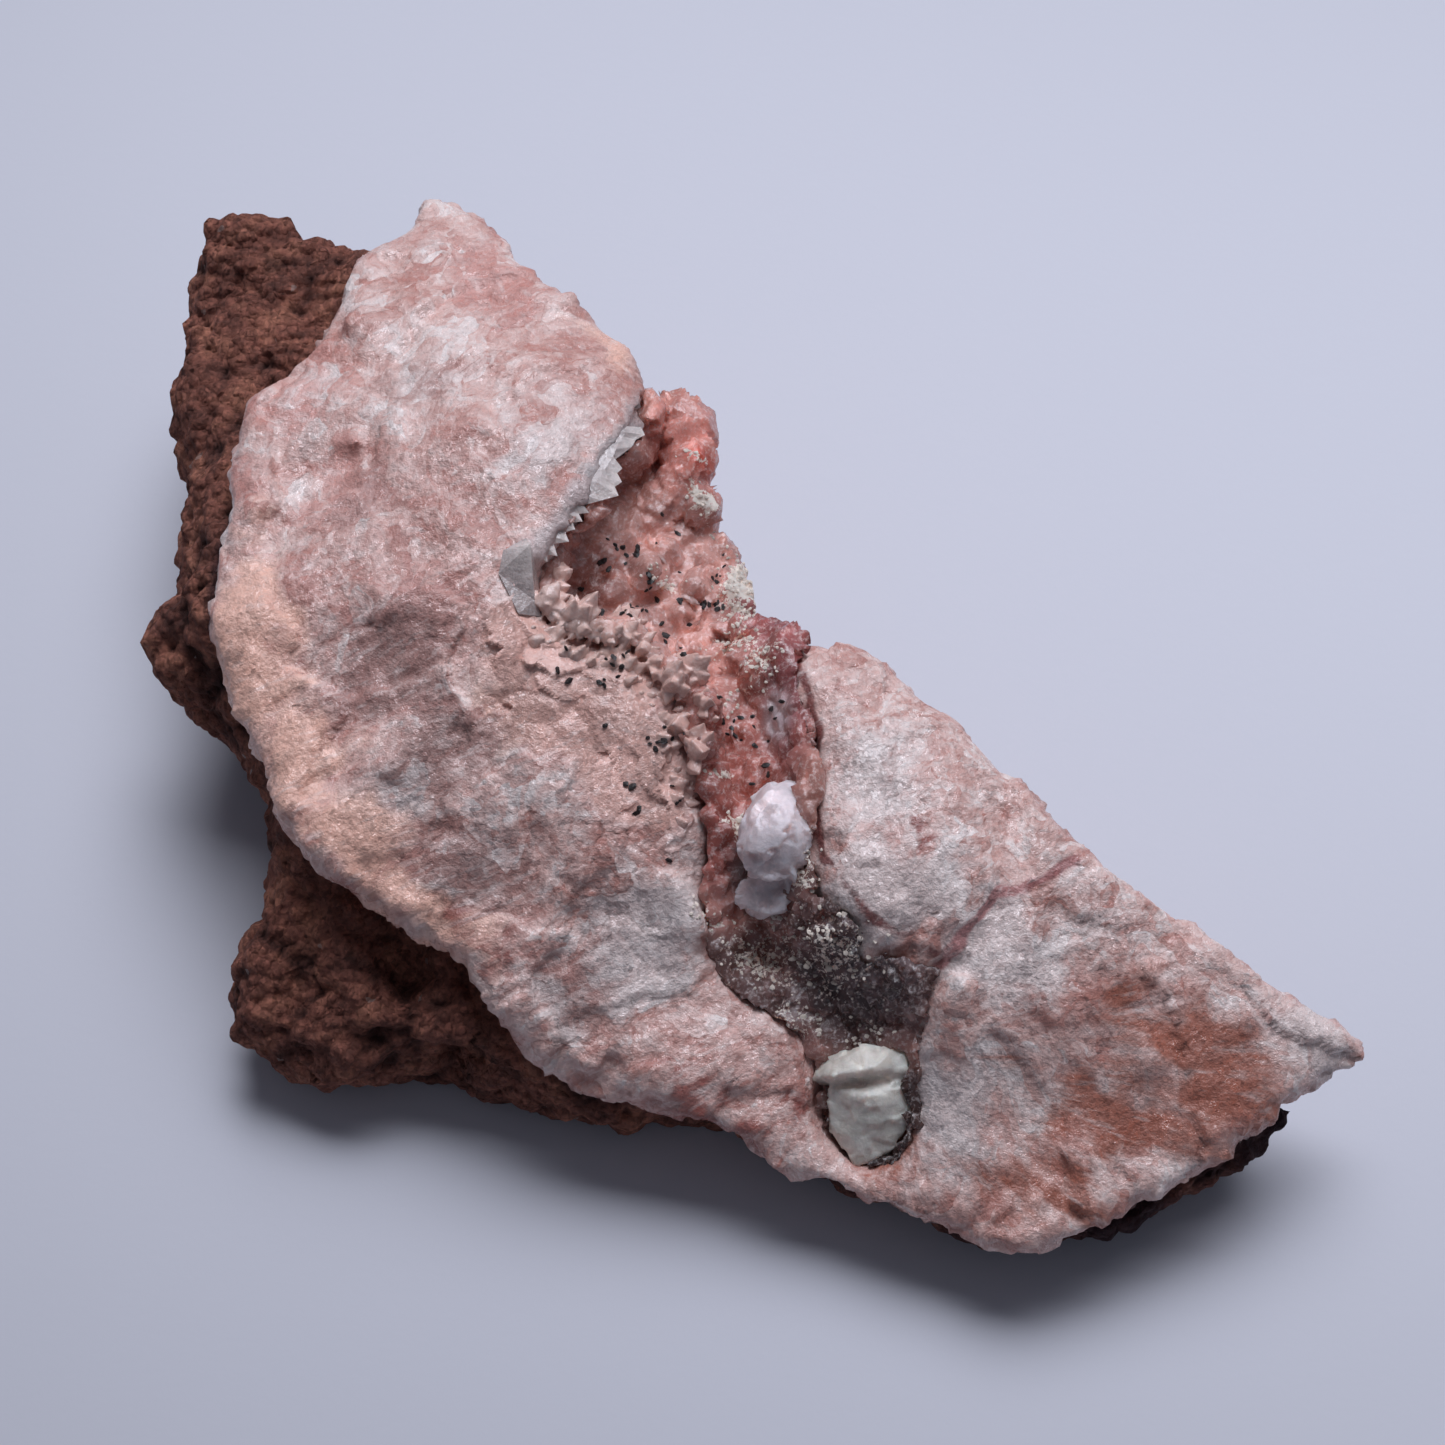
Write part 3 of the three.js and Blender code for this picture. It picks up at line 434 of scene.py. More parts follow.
def makeCalciteMaterial():
    # Massive calcite, broken open along its cleavage: light scatters under the surface, so it looks
    # milky and soft, with thin scalloped flakes that are paler toward their free edge
    sizes = calciteSettings
    material, add, place = newMaterial("cleavedPinkCalcite")
    alongFibres = add("Attribute", attribute_name="growth")["Vector"]
    drawn = add("Attribute", attribute_name="drawn")["Vector"]
    basin = add("Attribute", attribute_name="basin")["Fac"]
    # fibre bundles about 1 mm wide, and clouds of 6.5 mm
    fibre = add("TexNoise", {"Vector": alongFibres, "Scale": 1 / 1.1, "Detail": 3})["Fac"]
    cloud = add("TexNoise", {"Vector": place, "Scale": 1 / 6.5, "Detail": 3})["Fac"]
    ragged = add("TexNoise",
                 {"Vector": drawn, "Scale": 1 / 1.3, "Detail": 1, "Roughness": 0.7})["Color"]
    ragged = add("VectorMath", {0: ragged, 1: (1.2,) * 3, 2: drawn}, operation="MULTIPLY_ADD")[0]
    # each flake is a thin wedge that rises, and pales, to a free edge
    tone, height = 0.21, 0.0
    for size, paleness, high in sizes["flakes"]:
        cell = add("TexVoronoi", {"Vector": ragged, "Scale": 1 / size})
        away = add("VectorMath", {0: ragged, 1: cell["Position"]}, operation="SUBTRACT")[0]
        away = add("VectorMath", {0: away, 1: (1 / size,) * 3, 2: (0.3, 0, 0)},
                   operation="MULTIPLY_ADD")[0]
        toward = add("VectorMath", {0: cell["Color"], 1: (0.5,) * 3}, operation="SUBTRACT")[0]
        wedge = add("VectorMath", {0: away, 1: toward}, operation="DOT_PRODUCT")["Value"]
        tone = add("Math", {0: wedge, 1: paleness, 2: tone}, operation="MULTIPLY_ADD")[0]
        if high:
            height = add("Math", {0: wedge, 1: high, 2: height}, operation="MULTIPLY_ADD")[0]
    tone = add("Math", {0: cloud, 1: 0.32, 2: tone}, operation="MULTIPLY_ADD")[0]
    tone = add("Math", {0: fibre, 1: 0.28, 2: tone}, operation="MULTIPLY_ADD")[0]
    colour = add("ValToRGB", {"Fac": tone}, sizes["shades"])["Color"]
    # each tinted zone frays along the flakes, and iron stains along the fibres
    alongFlakes = add("Math", {0: tone, 1: 0.5}, operation="SUBTRACT")[0]
    streaks = add("Math", {0: fibre, 1: 0.5}, operation="SUBTRACT")[0]
    for zone, (hexColour, fray, most) in sizes["tints"].items():
        edge = streaks if zone in ("rust", "stain") else alongFlakes
        amount = add("Attribute", attribute_name=zone)["Fac"]
        amount = add("Math", {0: edge, 1: fray, 2: amount}, operation="MULTIPLY_ADD")[0]
        amount = add("MapRange",
                     {"Value": amount, "From Min": 0.2, "From Max": 0.8, "To Max": most},
                     interpolation_type="SMOOTHSTEP")[0]
        colour = add("Mix", {0: amount, 6: colour, 7: linear(hexColour)}, data_type="RGBA")[2]
    # whitish bruises, 0.5 mm wide and drawn out along the fibres, and sugary grain
    bruise = add("TexNoise",
                 {"Vector": alongFibres, "Scale": 1 / 0.75, "Detail": 3, "Roughness": 0.65})["Fac"]
    bruise = add("MapRange",
                 {"Value": bruise, "From Min": 0.55, "From Max": 0.7, "To Max": 0.42})[0]
    colour = add("Mix", {0: bruise, 6: colour, 7: linear(sizes["bruise"])}, data_type="RGBA")[2]
    grain = add("TexVoronoi", {"Vector": place, "Scale": 1 / 0.45})["Color"]
    shade = add("MapRange", {"Value": grain, "To Min": 0.87, "To Max": 1.13})[0]
    crystalTone = add("Attribute", attribute_name="crystalTone")["Fac"]
    shade = add("Math", {0: crystalTone, 1: 0.12, 2: shade}, operation="MULTIPLY_ADD")[0]
    colour = add("VectorMath", {0: colour, 3: shade}, operation="SCALE")[0]
    calm = add("Math", {0: basin, 1: -0.85, 2: 1.0}, operation="MULTIPLY_ADD")[0]
    height = add("Math", {0: height, 1: calm}, operation="MULTIPLY")[0]
    fine = add("TexNoise",
               {"Vector": place, "Scale": 1 / 0.4, "Detail": 2, "Roughness": 0.7})["Fac"]
    bump = add("Bump", {"Height": fine, "Strength": 0.6, "Distance": 0.0003})[0]
    bump = add("Bump", {"Height": height, "Distance": 0.0015, "Normal": bump})[0]
    # every sugary grain ends in its own small cleavage face
    leaning = add("VectorMath", {0: grain, 1: (0.5,) * 3}, operation="SUBTRACT")[0]
    leaning = add("VectorMath", {0: leaning, 3: 0.22}, operation="SCALE")[0]
    faceted = add("VectorMath", {0: bump, 1: leaning}, operation="ADD")[0]
    faceted = add("VectorMath", {0: faceted}, operation="NORMALIZE")[0]
    # about one grain in four is turned so that it glints
    rough = add("MapRange",
                {"Value": grain, "From Min": 0.62, "From Max": 0.72, "To Min": 0.5,
                 "To Max": 0.2})[0]
    rough = add("Math", {0: basin, 1: -0.16, 2: rough}, operation="MULTIPLY_ADD")[0]
    surface = add("BsdfPrincipled",
                  {"Base Color": colour, "Roughness": rough, "Normal": faceted, "IOR": 1.6,
                   "Subsurface Weight": 0.12, "Subsurface Radius": (1.0, 0.62, 0.52),
                   "Subsurface Scale": sizes["scatterDepth"] * mm}, subsurface_method="BURLEY")[0]
    add("OutputMaterial", {"Surface": surface})
    return material


def growth(points):
    # the way the fibres grow, and a place along them that draws patterns out eight times
    start, end = np.array(calciteSettings["fibreLine"], float)
    t = np.clip(((points - start) @ (end - start)) / ((end - start) @ (end - start)), 0, 1)
    middle = start + t[:, None] * (end - start)
    out = points - middle
    far = np.linalg.norm(out, axis=1)
    out = out / np.maximum(far, 0.01)[:, None]
    return middle + out * (12 + 0.12 * far[:, None]), out


def buildCalcite():
    sizes = calciteSettings
    mesh, _ = remeshed("pink_calcite", sizes["voxel"], rounds=9)
    refine(mesh, patchAmount(pointsOf(mesh), sizes["basin"]) * (normalsOf(mesh)[:, 2] > 0.2) > 0.15)
    points = pointsOf(mesh)
    normals = normalsOf(mesh)
    fibrePlace, out = growth(points)
    face = smoothstep(normals[:, 2], 0.2, 0.6)      # 1 on the open face, 0 on the sides
    fray = [softNoise(points, 4, seed, octaves) for seed, octaves in ((31, 3), (47, 3), (53, 2))]
    fray = np.stack(fray, 1)
    frayed = points + fray * sizes["frayWidth"]
    masks = {zone: patchAmount(frayed, sizes[zone])
             for zone in ("white", "salmon", "rose", "rust", "stain", "clear")}
    basin = smoothstep(patchAmount(points + fray * 1.5, sizes["basin"]) * face, 0.25, 0.6)
    # flakes are drawn out along the fibres
    drawnOut = points + fray * 1.1
    drawnOut -= out * (out * drawnOut).sum(1)[:, None] * 0.3
    lean = out * np.array([1, 1, 0.2]) * -0.6
    flakes = chipped(drawnOut, sizes["flakeSize"], 5, 0.08, sizes["flakeStep"], lean)[0]
    plates = chipped(drawnOut + 40, sizes["plateSize"], 15, 0.1, sizes["plateStep"], lean)[0]
    swell = softNoise(points, 9, 61, 2) * 0.22
    calm = (1 - 0.6 * patchAmount(points, sizes["calm"])) * (0.65 + 0.35 * face)
    side = softNoise(points, 2.2, 83, 3) * 0.45 + chipped(points, 1.9, 25, 0.22, 0.2)[0]
    side = (1 - face) * side
    lift = swell + (plates + flakes) * calm * (1 - basin) + side - basin * sizes["basinDepth"]
    lift *= smoothstep(points[:, 2], 0.2, 2.0)
    # flat-topped quartz ends fill the shallow basin beside the hollow
    inside = np.nonzero(basin > 0.02)[0]
    feet = scatter(points[inside], 0.6 * (basin[inside] > 0.1), sizes["crystalSpacing"], 9)
    ends, ownFacets, crystal = drusyLift(points[inside], normals[inside], feet,
                                         **sizes["crystalEnds"])
    lift[inside] += np.clip(ends, -0.3, 0.8) * basin[inside]
    tone = np.zeros(len(points))
    tone[inside] = np.random.default_rng(27).uniform(-1, 1, len(feet))[crystal] * basin[inside]
    moved = pushOut(mesh, points, normals, lift)
    facets = np.array(normals)
    facets[inside] = ownFacets
    shadeFacets(mesh, facets, basin * 0.9)

    toHost = distanceTo(moved, hostTree)
    toCrust = distanceTo(moved, crustTree)
    store(mesh, "growth", fibrePlace)
    store(mesh, "drawn", drawnOut)
    store(mesh, "crystalTone", tone)
    lineFray = frayed * 0.4 + points * 0.6
    border = 1 - smoothstep(lineDistance(lineFray, sizes["rimLine"]), 0.0, 0.9)
    lowSide = (1 - face) * 0.55 * (1 - smoothstep(toHost, 1.5, 5))
    masks["salmon"] = np.maximum(masks["salmon"], lowSide)
    nearHost = 1 - smoothstep(toHost, 2.5, 5)
    steepEdge = 1 - smoothstep(np.abs(normals[:, 2] - 0.3), 0.1, 0.35)
    masks["white"] = np.maximum(masks["white"], nearHost * steepEdge)
    masks["vein"] = 1 - smoothstep(lineDistance(lineFray, sizes["veinLine"]), 0.1, 1.1)
    masks["darkVein"] = border * smoothstep(-toCrust, -3.6, -1.2)
    rind = smoothstep(-normals[:, 2], -0.12, 0.06) * (1 - smoothstep(toHost + fray[:, 0], 1.2, 3.2))
    masks["selvage"] = np.maximum(1 - smoothstep(toHost, 0.45, 0.9), rind)
    toLip = lineDistance(points + fray * 0.6, sizes["lipLine"])
    masks["lipGlass"] = 1 - smoothstep(toLip, 1.2, 4.6)
    masks["glassy"] = basin
    masks["basin"] = np.maximum(basin, masks["lipGlass"] * 0.8)
    for name, amount in masks.items():
        store(mesh, name, amount)
    piece = addPiece("calciteMass", mesh, makeCalciteMaterial(), ["pink_calcite"])
    onRim = (toCrust < 2.2) * (basin > 0.1) * (normals[:, 2] > 0.1)
    return piece, moved, normals, onRim


calciteMass, calcitePoints, calciteNormals, onBasinRim = buildCalcite()
print("pink calcite", len(calciteMass.data.vertices))


# host rock

hostSettings = {
    "voxel": 0.5,
    # width and height in mm of each size of lump, and its seed
    "lumps": [(3.4, 1.5, 101), (1.5, 0.65, 131), (0.7, 0.2, 141)],
    # dark rind under the thin end in mm: x, y, half length, half width, turn, strength
    "rind": [(48, -41, 14, 8, -35, 1.3), (34, -50, 12, 6, -20, 1.3), (20, -54, 8, 5, 0, 0.8)],
    # pits, the last number their depth
    "pits": [(-33, -29, 3, 3, 0, 1.6), (-41, -31, 3, 2, 20, 1.3), (-46, 30, 5, 2.5, -30, 2.2),
        (-44, 40, 3, 2, 10, 1.0)],
    "shades": [(0.34, "#6e453b"), (0.66, "#c4836b"), (0.5, "#9f6555")],
    # the hollow colour is painted shade, laid on the low parts of the relief
    "paintedHollowShadeColour": "#38211f", "rindColour": "#33202a", "sparkColour": "#b9a49c",
}


def makeHostMaterial():
    # Weathered iron-stained rock: earthy, granular and dull, with a few bright mineral grains; its
    # low hollows are darkened with painted shade
    sizes = hostSettings
    material, add, place = newMaterial("ironStainedHostRock")
    cloud = add("TexNoise",
                {"Vector": place, "Scale": 1 / 4.0, "Detail": 5, "Roughness": 0.65})["Fac"]
    colour = add("ValToRGB", {"Fac": cloud}, sizes["shades"])["Color"]
    grain = add("TexVoronoi", {"Vector": place, "Scale": 1 / 0.5})["Color"]
    shade = add("MapRange", {"Value": grain, "To Min": 0.6, "To Max": 1.35})[0]
    colour = add("VectorMath", {0: colour, 3: shade}, operation="SCALE")[0]
    relief = add("Attribute", attribute_name="relief")["Fac"]
    # painted shade: the lower the relief, the more it turns to the dark hollow colour
    low = add("MapRange", {"Value": relief, "From Min": 0.05, "From Max": -0.5, "To Max": 0.75})[0]
    selvage = add("Attribute", attribute_name="selvage")["Fac"]
    # mineral grains about 0.5 mm wide that catch the light, one in three hundred
    spark = add("TexVoronoi", {"Vector": place, "Scale": 1 / 0.6})["Color"]
    bright = add("Math", {0: spark, 1: 0.94}, operation="GREATER_THAN")[0]
    glint = add("Math", {0: bright, 1: 0.5}, operation="MULTIPLY")[0]
    for amount, name in ((low, "paintedHollowShadeColour"), (selvage, "rindColour"), (glint, "sparkColour")):
        colour = add("Mix", {0: amount, 6: colour, 7: linear(sizes[name])}, data_type="RGBA")[2]
    fine = add("TexNoise",
               {"Vector": place, "Scale": 1 / 0.35, "Detail": 4, "Roughness": 0.7})["Fac"]
    bump = add("Bump", {"Height": fine, "Distance": 0.001})[0]
    # crumbs 1.2 mm wide stand out of the earthy surface
    crumb = add("TexVoronoi", {"Vector": place, "Scale": 1 / 1.2})["Distance"]
    bump = add("Bump", {"Height": crumb, "Distance": 0.0016, "Normal": bump}, invert=True)[0]
    rough = add("MapRange", {"Value": bright, "To Min": 0.9, "To Max": 0.35})[0]
    surface = add("BsdfPrincipled",
                  {"Base Color": colour, "Roughness": rough, "Normal": bump, "IOR": 1.5,
                   "Specular IOR Level": 0.35})[0]
    add("OutputMaterial", {"Surface": surface})
    return material


def buildHost():
    sizes = hostSettings
    mesh, points = remeshed("host_rock", sizes["voxel"], rounds=5)
    normals = normalsOf(mesh)
    warp = softShift(points, 3, 201)
    toCalcite = distanceTo(points, calciteTree)
    relief = softNoise(points, 5, 151, 3) * 0.6 + softNoise(points, 1.2, 171, 2) * 0.2
    for size, high, seed in sizes["lumps"]:
        _, far, tone = chipped(points + warp * size * 0.3, size, seed, 0, 0)
        relief += high * (0.45 - (far / size) ** 2) * (0.5 + tone)
    lift = relief - patchAmount(points + warp, sizes["pits"])
    lift *= (0.3 + 0.7 * smoothstep(toCalcite, 0.4, 1.6)) * smoothstep(points[:, 2], 0.1, 1.2)
    pushOut(mesh, points, normals, lift)
    store(mesh, "relief", relief)
    rind = np.minimum(patchAmount(points + warp, sizes["rind"]), 1)
    store(mesh, "selvage", np.maximum((1 - smoothstep(toCalcite, 0.5, 1.8)) * 0.85, rind * 0.9))
    return addPiece("hostRockMass", mesh, makeHostMaterial(), ["host_rock"])


hostRockMass = buildHost()
print("host rock", len(hostRockMass.data.vertices))


# quartz druse that lines the hollow

druseSettings = {
    "voxel": 0.3,
    "spacing": 1.5, "fineSpacing": 0.85,       # mm between crystals
    "ends": {"slope": (0.45, 0.9), "tip": (0.3, 1.1), "lean": 0.2, "seed": 11},
    "fineEnds": {"slope": (0.9, 1.5), "tip": (0.3, 1.0), "lean": 0.3, "seed": 13},
    # soft ovals in mm: the edge beside the basin, and where the crystals are fine
    "rim": [(-13, -1, 8, 4, -25, 1), (-19.5, 3, 3, 4, 0, 1), (-6, -9, 3, 7, 10, 1)],
    "fineZone": [(8, -31, 10, 5, -10, 1), (14, -34, 6, 4, 0, 1), (13, -46, 5, 3.5, 0, 1)],
    # tint zones in mm: x, y, half length, half width, turn, strength, colour
    "zones": [(-12, 6, 12, 9, 0, 1.0, "#cf9d92"), (-17, -8, 12, 9, 0, 1.0, "#d9b1a3"),
        (-5, -4, 8, 7, 0, 0.9, "#d0988c"), (-2, -10, 6, 9, 0, 1.0, "#ad6a60"),
        (3, 4, 5, 8, 0, 1.0, "#8f5050"), (4, -6, 3, 8, 0, 1.0, "#8b4a4b"),
        (-2, -20, 5, 5, 0, 0.9, "#a05a52"), (5, -30, 10, 6, 0, 1.0, "#5c4a49"),
        (12, -33, 8, 5, 0, 1.0, "#4b4244"), (3, -28, 4, 4, 0, 0.8, "#b98579"),
        (13, -45, 6, 5, 0, 1.0, "#332a29"), (-5, 22, 4, 5, 0, 1.0, "#d68d80"),
        (-20, -2, 4, 5, 0, 0.6, "#cfbdb8"), (-4.5, 20.5, 1.6, 1.2, 0, 1.6, "#c8503a"),
        # the dark zone at x -15, y 7 is painted shade, for the recess under the overhanging lip
        (-15, 7, 2.6, 5.0, -40, 1.5, "#87564e"), (3.2, -8.6, 1.4, 2.8, 0, 1.6, "#d2c5c6"),
        (1, -22, 2.6, 2.4, 0, 1.7, "#9b918f"), (-2, -26, 2.0, 2.0, 0, 1.6, "#c58b80")],
    "between": "#b98579",
    # chalky white coating in mm: x, y, half length, half width, turn, strength
    "chalk": [(-0.6, 9.4, 1.7, 4.4, -20, 0.9), (0.2, 5.6, 2.2, 1.6, 0, 0.6),
        (-8.2, 7.8, 1.6, 1.0, 0, 0.7), (-4.4, 16.8, 1.0, 2.2, 30, 0.6),
        (-0.8, 0.8, 3.6, 3.0, -30, 0.42), (1.6, -3.4, 3.0, 3.4, 0, 0.4),
        (-2.6, -14.6, 1.8, 0.9, 20, 0.5), (-1.2, -18.6, 1.8, 1.6, 0, 0.45),
        (1.6, -29.4, 6.0, 4.0, -10, 0.4), (8.6, -31.6, 6.4, 3.8, -20, 0.36),
        (5.6, -24.6, 1.6, 4.4, 0, 0.42), (-4, -26.6, 2.8, 1.8, 0, 0.4),
        (5.4, -35.4, 3.6, 1.6, -30, 0.4), (-5.4, 20.6, 1.6, 0.6, 0, 0.5)],
    "chalkColour": "#e8dccf", "hazeColour": "#eee0dc",
    "quartz": {"clearness": 0.0, "roughness": 0.13, "inner": 0.7, "depth": 2.2, "clouding": 0.12},
}


def zoneTint(points, jitter):
    # the tint of the crystals at each place, where neighbouring zones blend; one zone under the lip
    # is painted shade
    total = np.tile(tintOf(druseSettings["between"]), (len(points), 1)) * 0.05
    weight = np.full(len(points), 0.05)
    for *patch, hexColour in druseSettings["zones"]:
        amount = patchAmount(points, [patch]) ** 2
        total += amount[:, None] * tintOf(hexColour)
        weight += amount
    return total / weight[:, None] * (0.98 + jitter)[:, None]


def makeQuartzMaterial(name, clearness, roughness, inner, depth, clouding):
    # Vein quartz grown in the open: glassy faces, cloudy and iron-stained inside, where a share
    # "inner" of the light travels about "depth" mm
    material, add, place = newMaterial(name)
    tint = add("Attribute", attribute_name="tint")["Color"]
    chalk = add("Attribute", attribute_name="chalk")["Fac"]
    cloud = add("TexNoise",
                {"Vector": place, "Scale": 1 / 1.4, "Detail": 4, "Roughness": 0.65})["Fac"]
    shade = add("MapRange",
                {"Value": cloud, "From Min": 0.3, "From Max": 0.7, "To Min": 1 - clouding * 2,
                 "To Max": 1 + clouding})[0]
    colour = add("VectorMath", {0: tint, 3: shade}, operation="SCALE")[0]
    fine = add("TexNoise",
               {"Vector": place, "Scale": 1 / 0.5, "Detail": 3, "Roughness": 0.65})["Fac"]
    # frosty haze inside, then a coating that breaks up into specks 0.5 mm wide where it thins out
    haze = add("MapRange", {"Value": fine, "From Min": 0.5, "From Max": 0.68, "To Max": 0.4})[0]
    coated = add("Math", {0: fine, 1: 1.1, 2: chalk}, operation="MULTIPLY_ADD")[0]
    coated = add("MapRange", {"Value": coated, "From Min": 0.9, "From Max": 1.0})[0]
    for amount, layer in ((haze, "hazeColour"), (coated, "chalkColour")):
        colour = add("Mix", {0: amount, 6: colour, 7: linear(druseSettings[layer])},
                     data_type="RGBA")[2]
    bump = add("Bump", {"Height": fine, "Strength": 0.5, "Distance": 0.0003})[0]
    rough = add("MapRange",
                {"Value": cloud, "To Min": roughness * 0.6, "To Max": roughness * 1.6})[0]
    rough = add("Math", {0: coated, 1: 0.6, 2: rough}, operation="MULTIPLY_ADD")[0]
    surface = add("BsdfPrincipled",
                  {"Base Color": colour, "Roughness": rough, "Normal": bump, "IOR": 1.544,
                   "Transmission Weight": clearness, "Subsurface Weight": inner,
                   "Subsurface Radius": (1.0, 0.6, 0.5), "Subsurface Scale": depth * mm},
                  subsurface_method="BURLEY")[0]
    add("OutputMaterial", {"Surface": surface})
    return material


def buildDruse():
    sizes = druseSettings
    mesh, points = remeshed("vug_quartz_crust", sizes["voxel"], rounds=14)
    edges = edgesOf(mesh)
    normals = unit(blurred(normalsOf(mesh), edges, 6))
    fine = smoothstep(patchAmount(points, sizes["fineZone"]), 0.3, 0.5)
    exposed = smoothstep(normals[:, 2], -0.4, 0.0)
    coarseFeet = scatter(points, 0.7 * (fine < 0.6), sizes["spacing"], 5)
    fineFeet = scatter(points, 0.9 * (fine > 0.4), sizes["fineSpacing"], 7)
    coarse, coarseFacets, coarseOwner = drusyLift(points, normals, coarseFeet, **sizes["ends"])
    small, smallFacets, smallOwner = drusyLift(points, normals, fineFeet, **sizes["fineEnds"])
    ends = np.where(fine > 0.5, np.clip(small, -0.2, 1.1), np.clip(coarse, -0.2, 1.4))
    chalk = patchAmount(points + softShift(points, 1.2, 341) * 0.8, sizes["chalk"])
    moved = pushOut(mesh, points, normals, (ends + 0.12 * chalk) * exposed)
    facets = np.where(fine[:, None] > 0.5, smallFacets, coarseFacets)
    shadeFacets(mesh, facets, 0.85 * exposed * (1 - 0.6 * smoothstep(chalk, 0.4, 0.8)))
    rng = np.random.default_rng(19)
    jitter = np.where(fine > 0.5, rng.uniform(-0.4, 0.6, len(fineFeet))[smallOwner],
                      rng.uniform(-0.14, 0.14, len(coarseFeet))[coarseOwner])
    store(mesh, "tint", zoneTint(moved, jitter))
    store(mesh, "chalk", chalk)
    quartz = makeQuartzMaterial("ironStainedDruseQuartz", **sizes["quartz"])
    piece = addPiece("vugDruse", mesh, quartz, ["vug_quartz_crust"])
    bulge = ((points - blurred(points, edges, 40)) * normals).sum(1)
    onEdge = (bulge > 0.2) * (patchAmount(points, sizes["rim"]) > 0.4) * (normals[:, 2] > -0.1)
    return piece, moved, normals, onEdge


vugDruse, drusePoints, druseNormals, onDruseRim = buildDruse()
print("druse", len(vugDruse.data.vertices))


# clear quartz along the overhanging lip, with the smoky point

lipSettings = {
    # the saw-toothed free edge in mm, from the knob to the smoky point: x, y of each tip and notch
    "edge": [(-10.4, 20.8), (-10.0, 19.8), (-10.9, 19.2), (-11.3, 18.2), (-12.9, 16.6),
        (-12.2, 15.4), (-12.7, 14.8), (-12.2, 13.7), (-12.9, 13.1), (-12.5, 12.0), (-14.3, 11.4),
        (-15.9, 10.9), (-15.4, 10.0), (-16.4, 9.9), (-16.0, 9.0), (-17.0, 8.9), (-16.7, 8.1),
        (-17.7, 7.9), (-17.3, 6.8), (-18.8, 6.6), (-18.4, 5.2), (-19.4, 5.5), (-19.4, 4.7),
        (-20.3, 5.1)],
    "inward": (-0.78, 0.62),
    # y and height of the plate's upper face in mm
    "height": [(4, 36.9), (6, 37.5), (8, 37.9), (12, 38.1), (16, 37.9), (19, 37.4), (21.4, 36.7)],
    # one section of the plate, mm inward from the free edge and mm above the upper face
    "section": [(0.0, -0.5), (1.3, 0.1), (2.6, 0.1), (4.2, -0.9), (3.4, -2.2), (1.0, -1.2)],
    "jitter": 0.16,
    # outline of the smoky crystal, then the two ends of its ridge, in mm
    "smoky": [(-23.6, 4.8), (-21.4, 6.0), (-19.3, 5.0), (-19.8, -0.9), (-22.0, -1.4), (-24.0, 2.4)],
    "smokyRidge": [(-20.9, 4.8, 1.3), (-20.5, 0.3, 1.0)],
    "smokyRings": (0.3, -2.0),     # mm above the calcite
    "grey": "#d2c5c1", "pale": "#f1e5de", "smokyTint": "#b9aaa6",
    "quartz": {"clearness": 0.18, "roughness": 0.12, "inner": 0.3, "depth": 0.8, "clouding": 0.15},
}


def buildLip():
    # a thin plate whose free edge is a row of crystal ends
    sizes = lipSettings
    rng = np.random.default_rng(23)
    ground = searchTree(calciteMass)

    def above(x, y, height):
        return (x, y, dropped(ground, x, y)[2] + height)

    inward = np.array(sizes["inward"])
    grey, pale, smoky = (tintOf(sizes[name]) for name in ("grey", "pale", "smokyTint"))
    corners, faces, tints = [], [], []
    count = len(sizes["section"])
    edge = np.array(sizes["edge"])
    line = np.arange(len(edge))
    # the teeth die out inward, where the plate follows the mean line of its edge
    mean = blurred(edge, np.stack([line[:-1], line[1:]], 1), 10)
    for index, spot in enumerate(edge):
        top = np.interp(mean[index, 1], *np.array(sizes["height"]).T)
        for k, (back, rise) in enumerate(sizes["section"]):
            shake = rng.uniform(-1, 1, 3) * sizes["jitter"] * (k in (1, 2))
            foot = spot if k == 0 else mean[index] if k < 5 else (spot + mean[index]) / 2
            x, y = foot + inward * back + shake[:2]
            corners.append((x, y, top + rise + shake[2]))
            tints.append(pale if k in (0, 3) else grey)
        if index:
            start = (index - 1) * count
            for k in range(count):
                after = (k + 1) % count
                faces.append((start + k, start + after, start + count + after))
                faces.append((start + k, start + count + after, start + count + k))
    faces += [tuple(range(count))[::-1], tuple(range(len(corners) - count, len(corners)))]
    # the smoky crystal: two rings of six corners and a ridge
    start = len(corners)
    for height in sizes["smokyRings"]:
        corners += [above(x, y, height) for x, y in sizes["smoky"]]
    corners += [above(*ridge) for ridge in sizes["smokyRidge"]]
    tints += [grey, grey, pale, smoky, smoky, smoky] * 2 + [pale, smoky]
    upper, lower = start + 12, start + 13
    for k in range(6):
        after = (k + 1) % 6
        faces.append((start + k, start + 6 + k, start + 6 + after, start + after))
        # the ridge's upper end meets the first three sides, its lower end the others
        faces.append((start + k, start + after, upper if k in (0, 1, 5) else lower))
    faces += [(start + 2, lower, upper), (start + 5, upper, lower)]
    faces.append(tuple(start + 6 + k for k in range(5, -1, -1)))
    mesh = joinedMesh("lip", corners, faces, tints)
    work = bmesh.new()
    work.from_mesh(mesh)
    bmesh.ops.recalc_face_normals(work, faces=work.faces)
    work.to_mesh(mesh)
    work.free()
    quartz = makeQuartzMaterial("clearLipQuartz", **sizes["quartz"])
    return addPiece("lipTeeth", mesh, quartz, ["lip_quartz_points"])


lipTeeth = buildLip()
print("lip quartz", len(lipTeeth.data.vertices))


# small cloudy points where the basin drops into the hollow

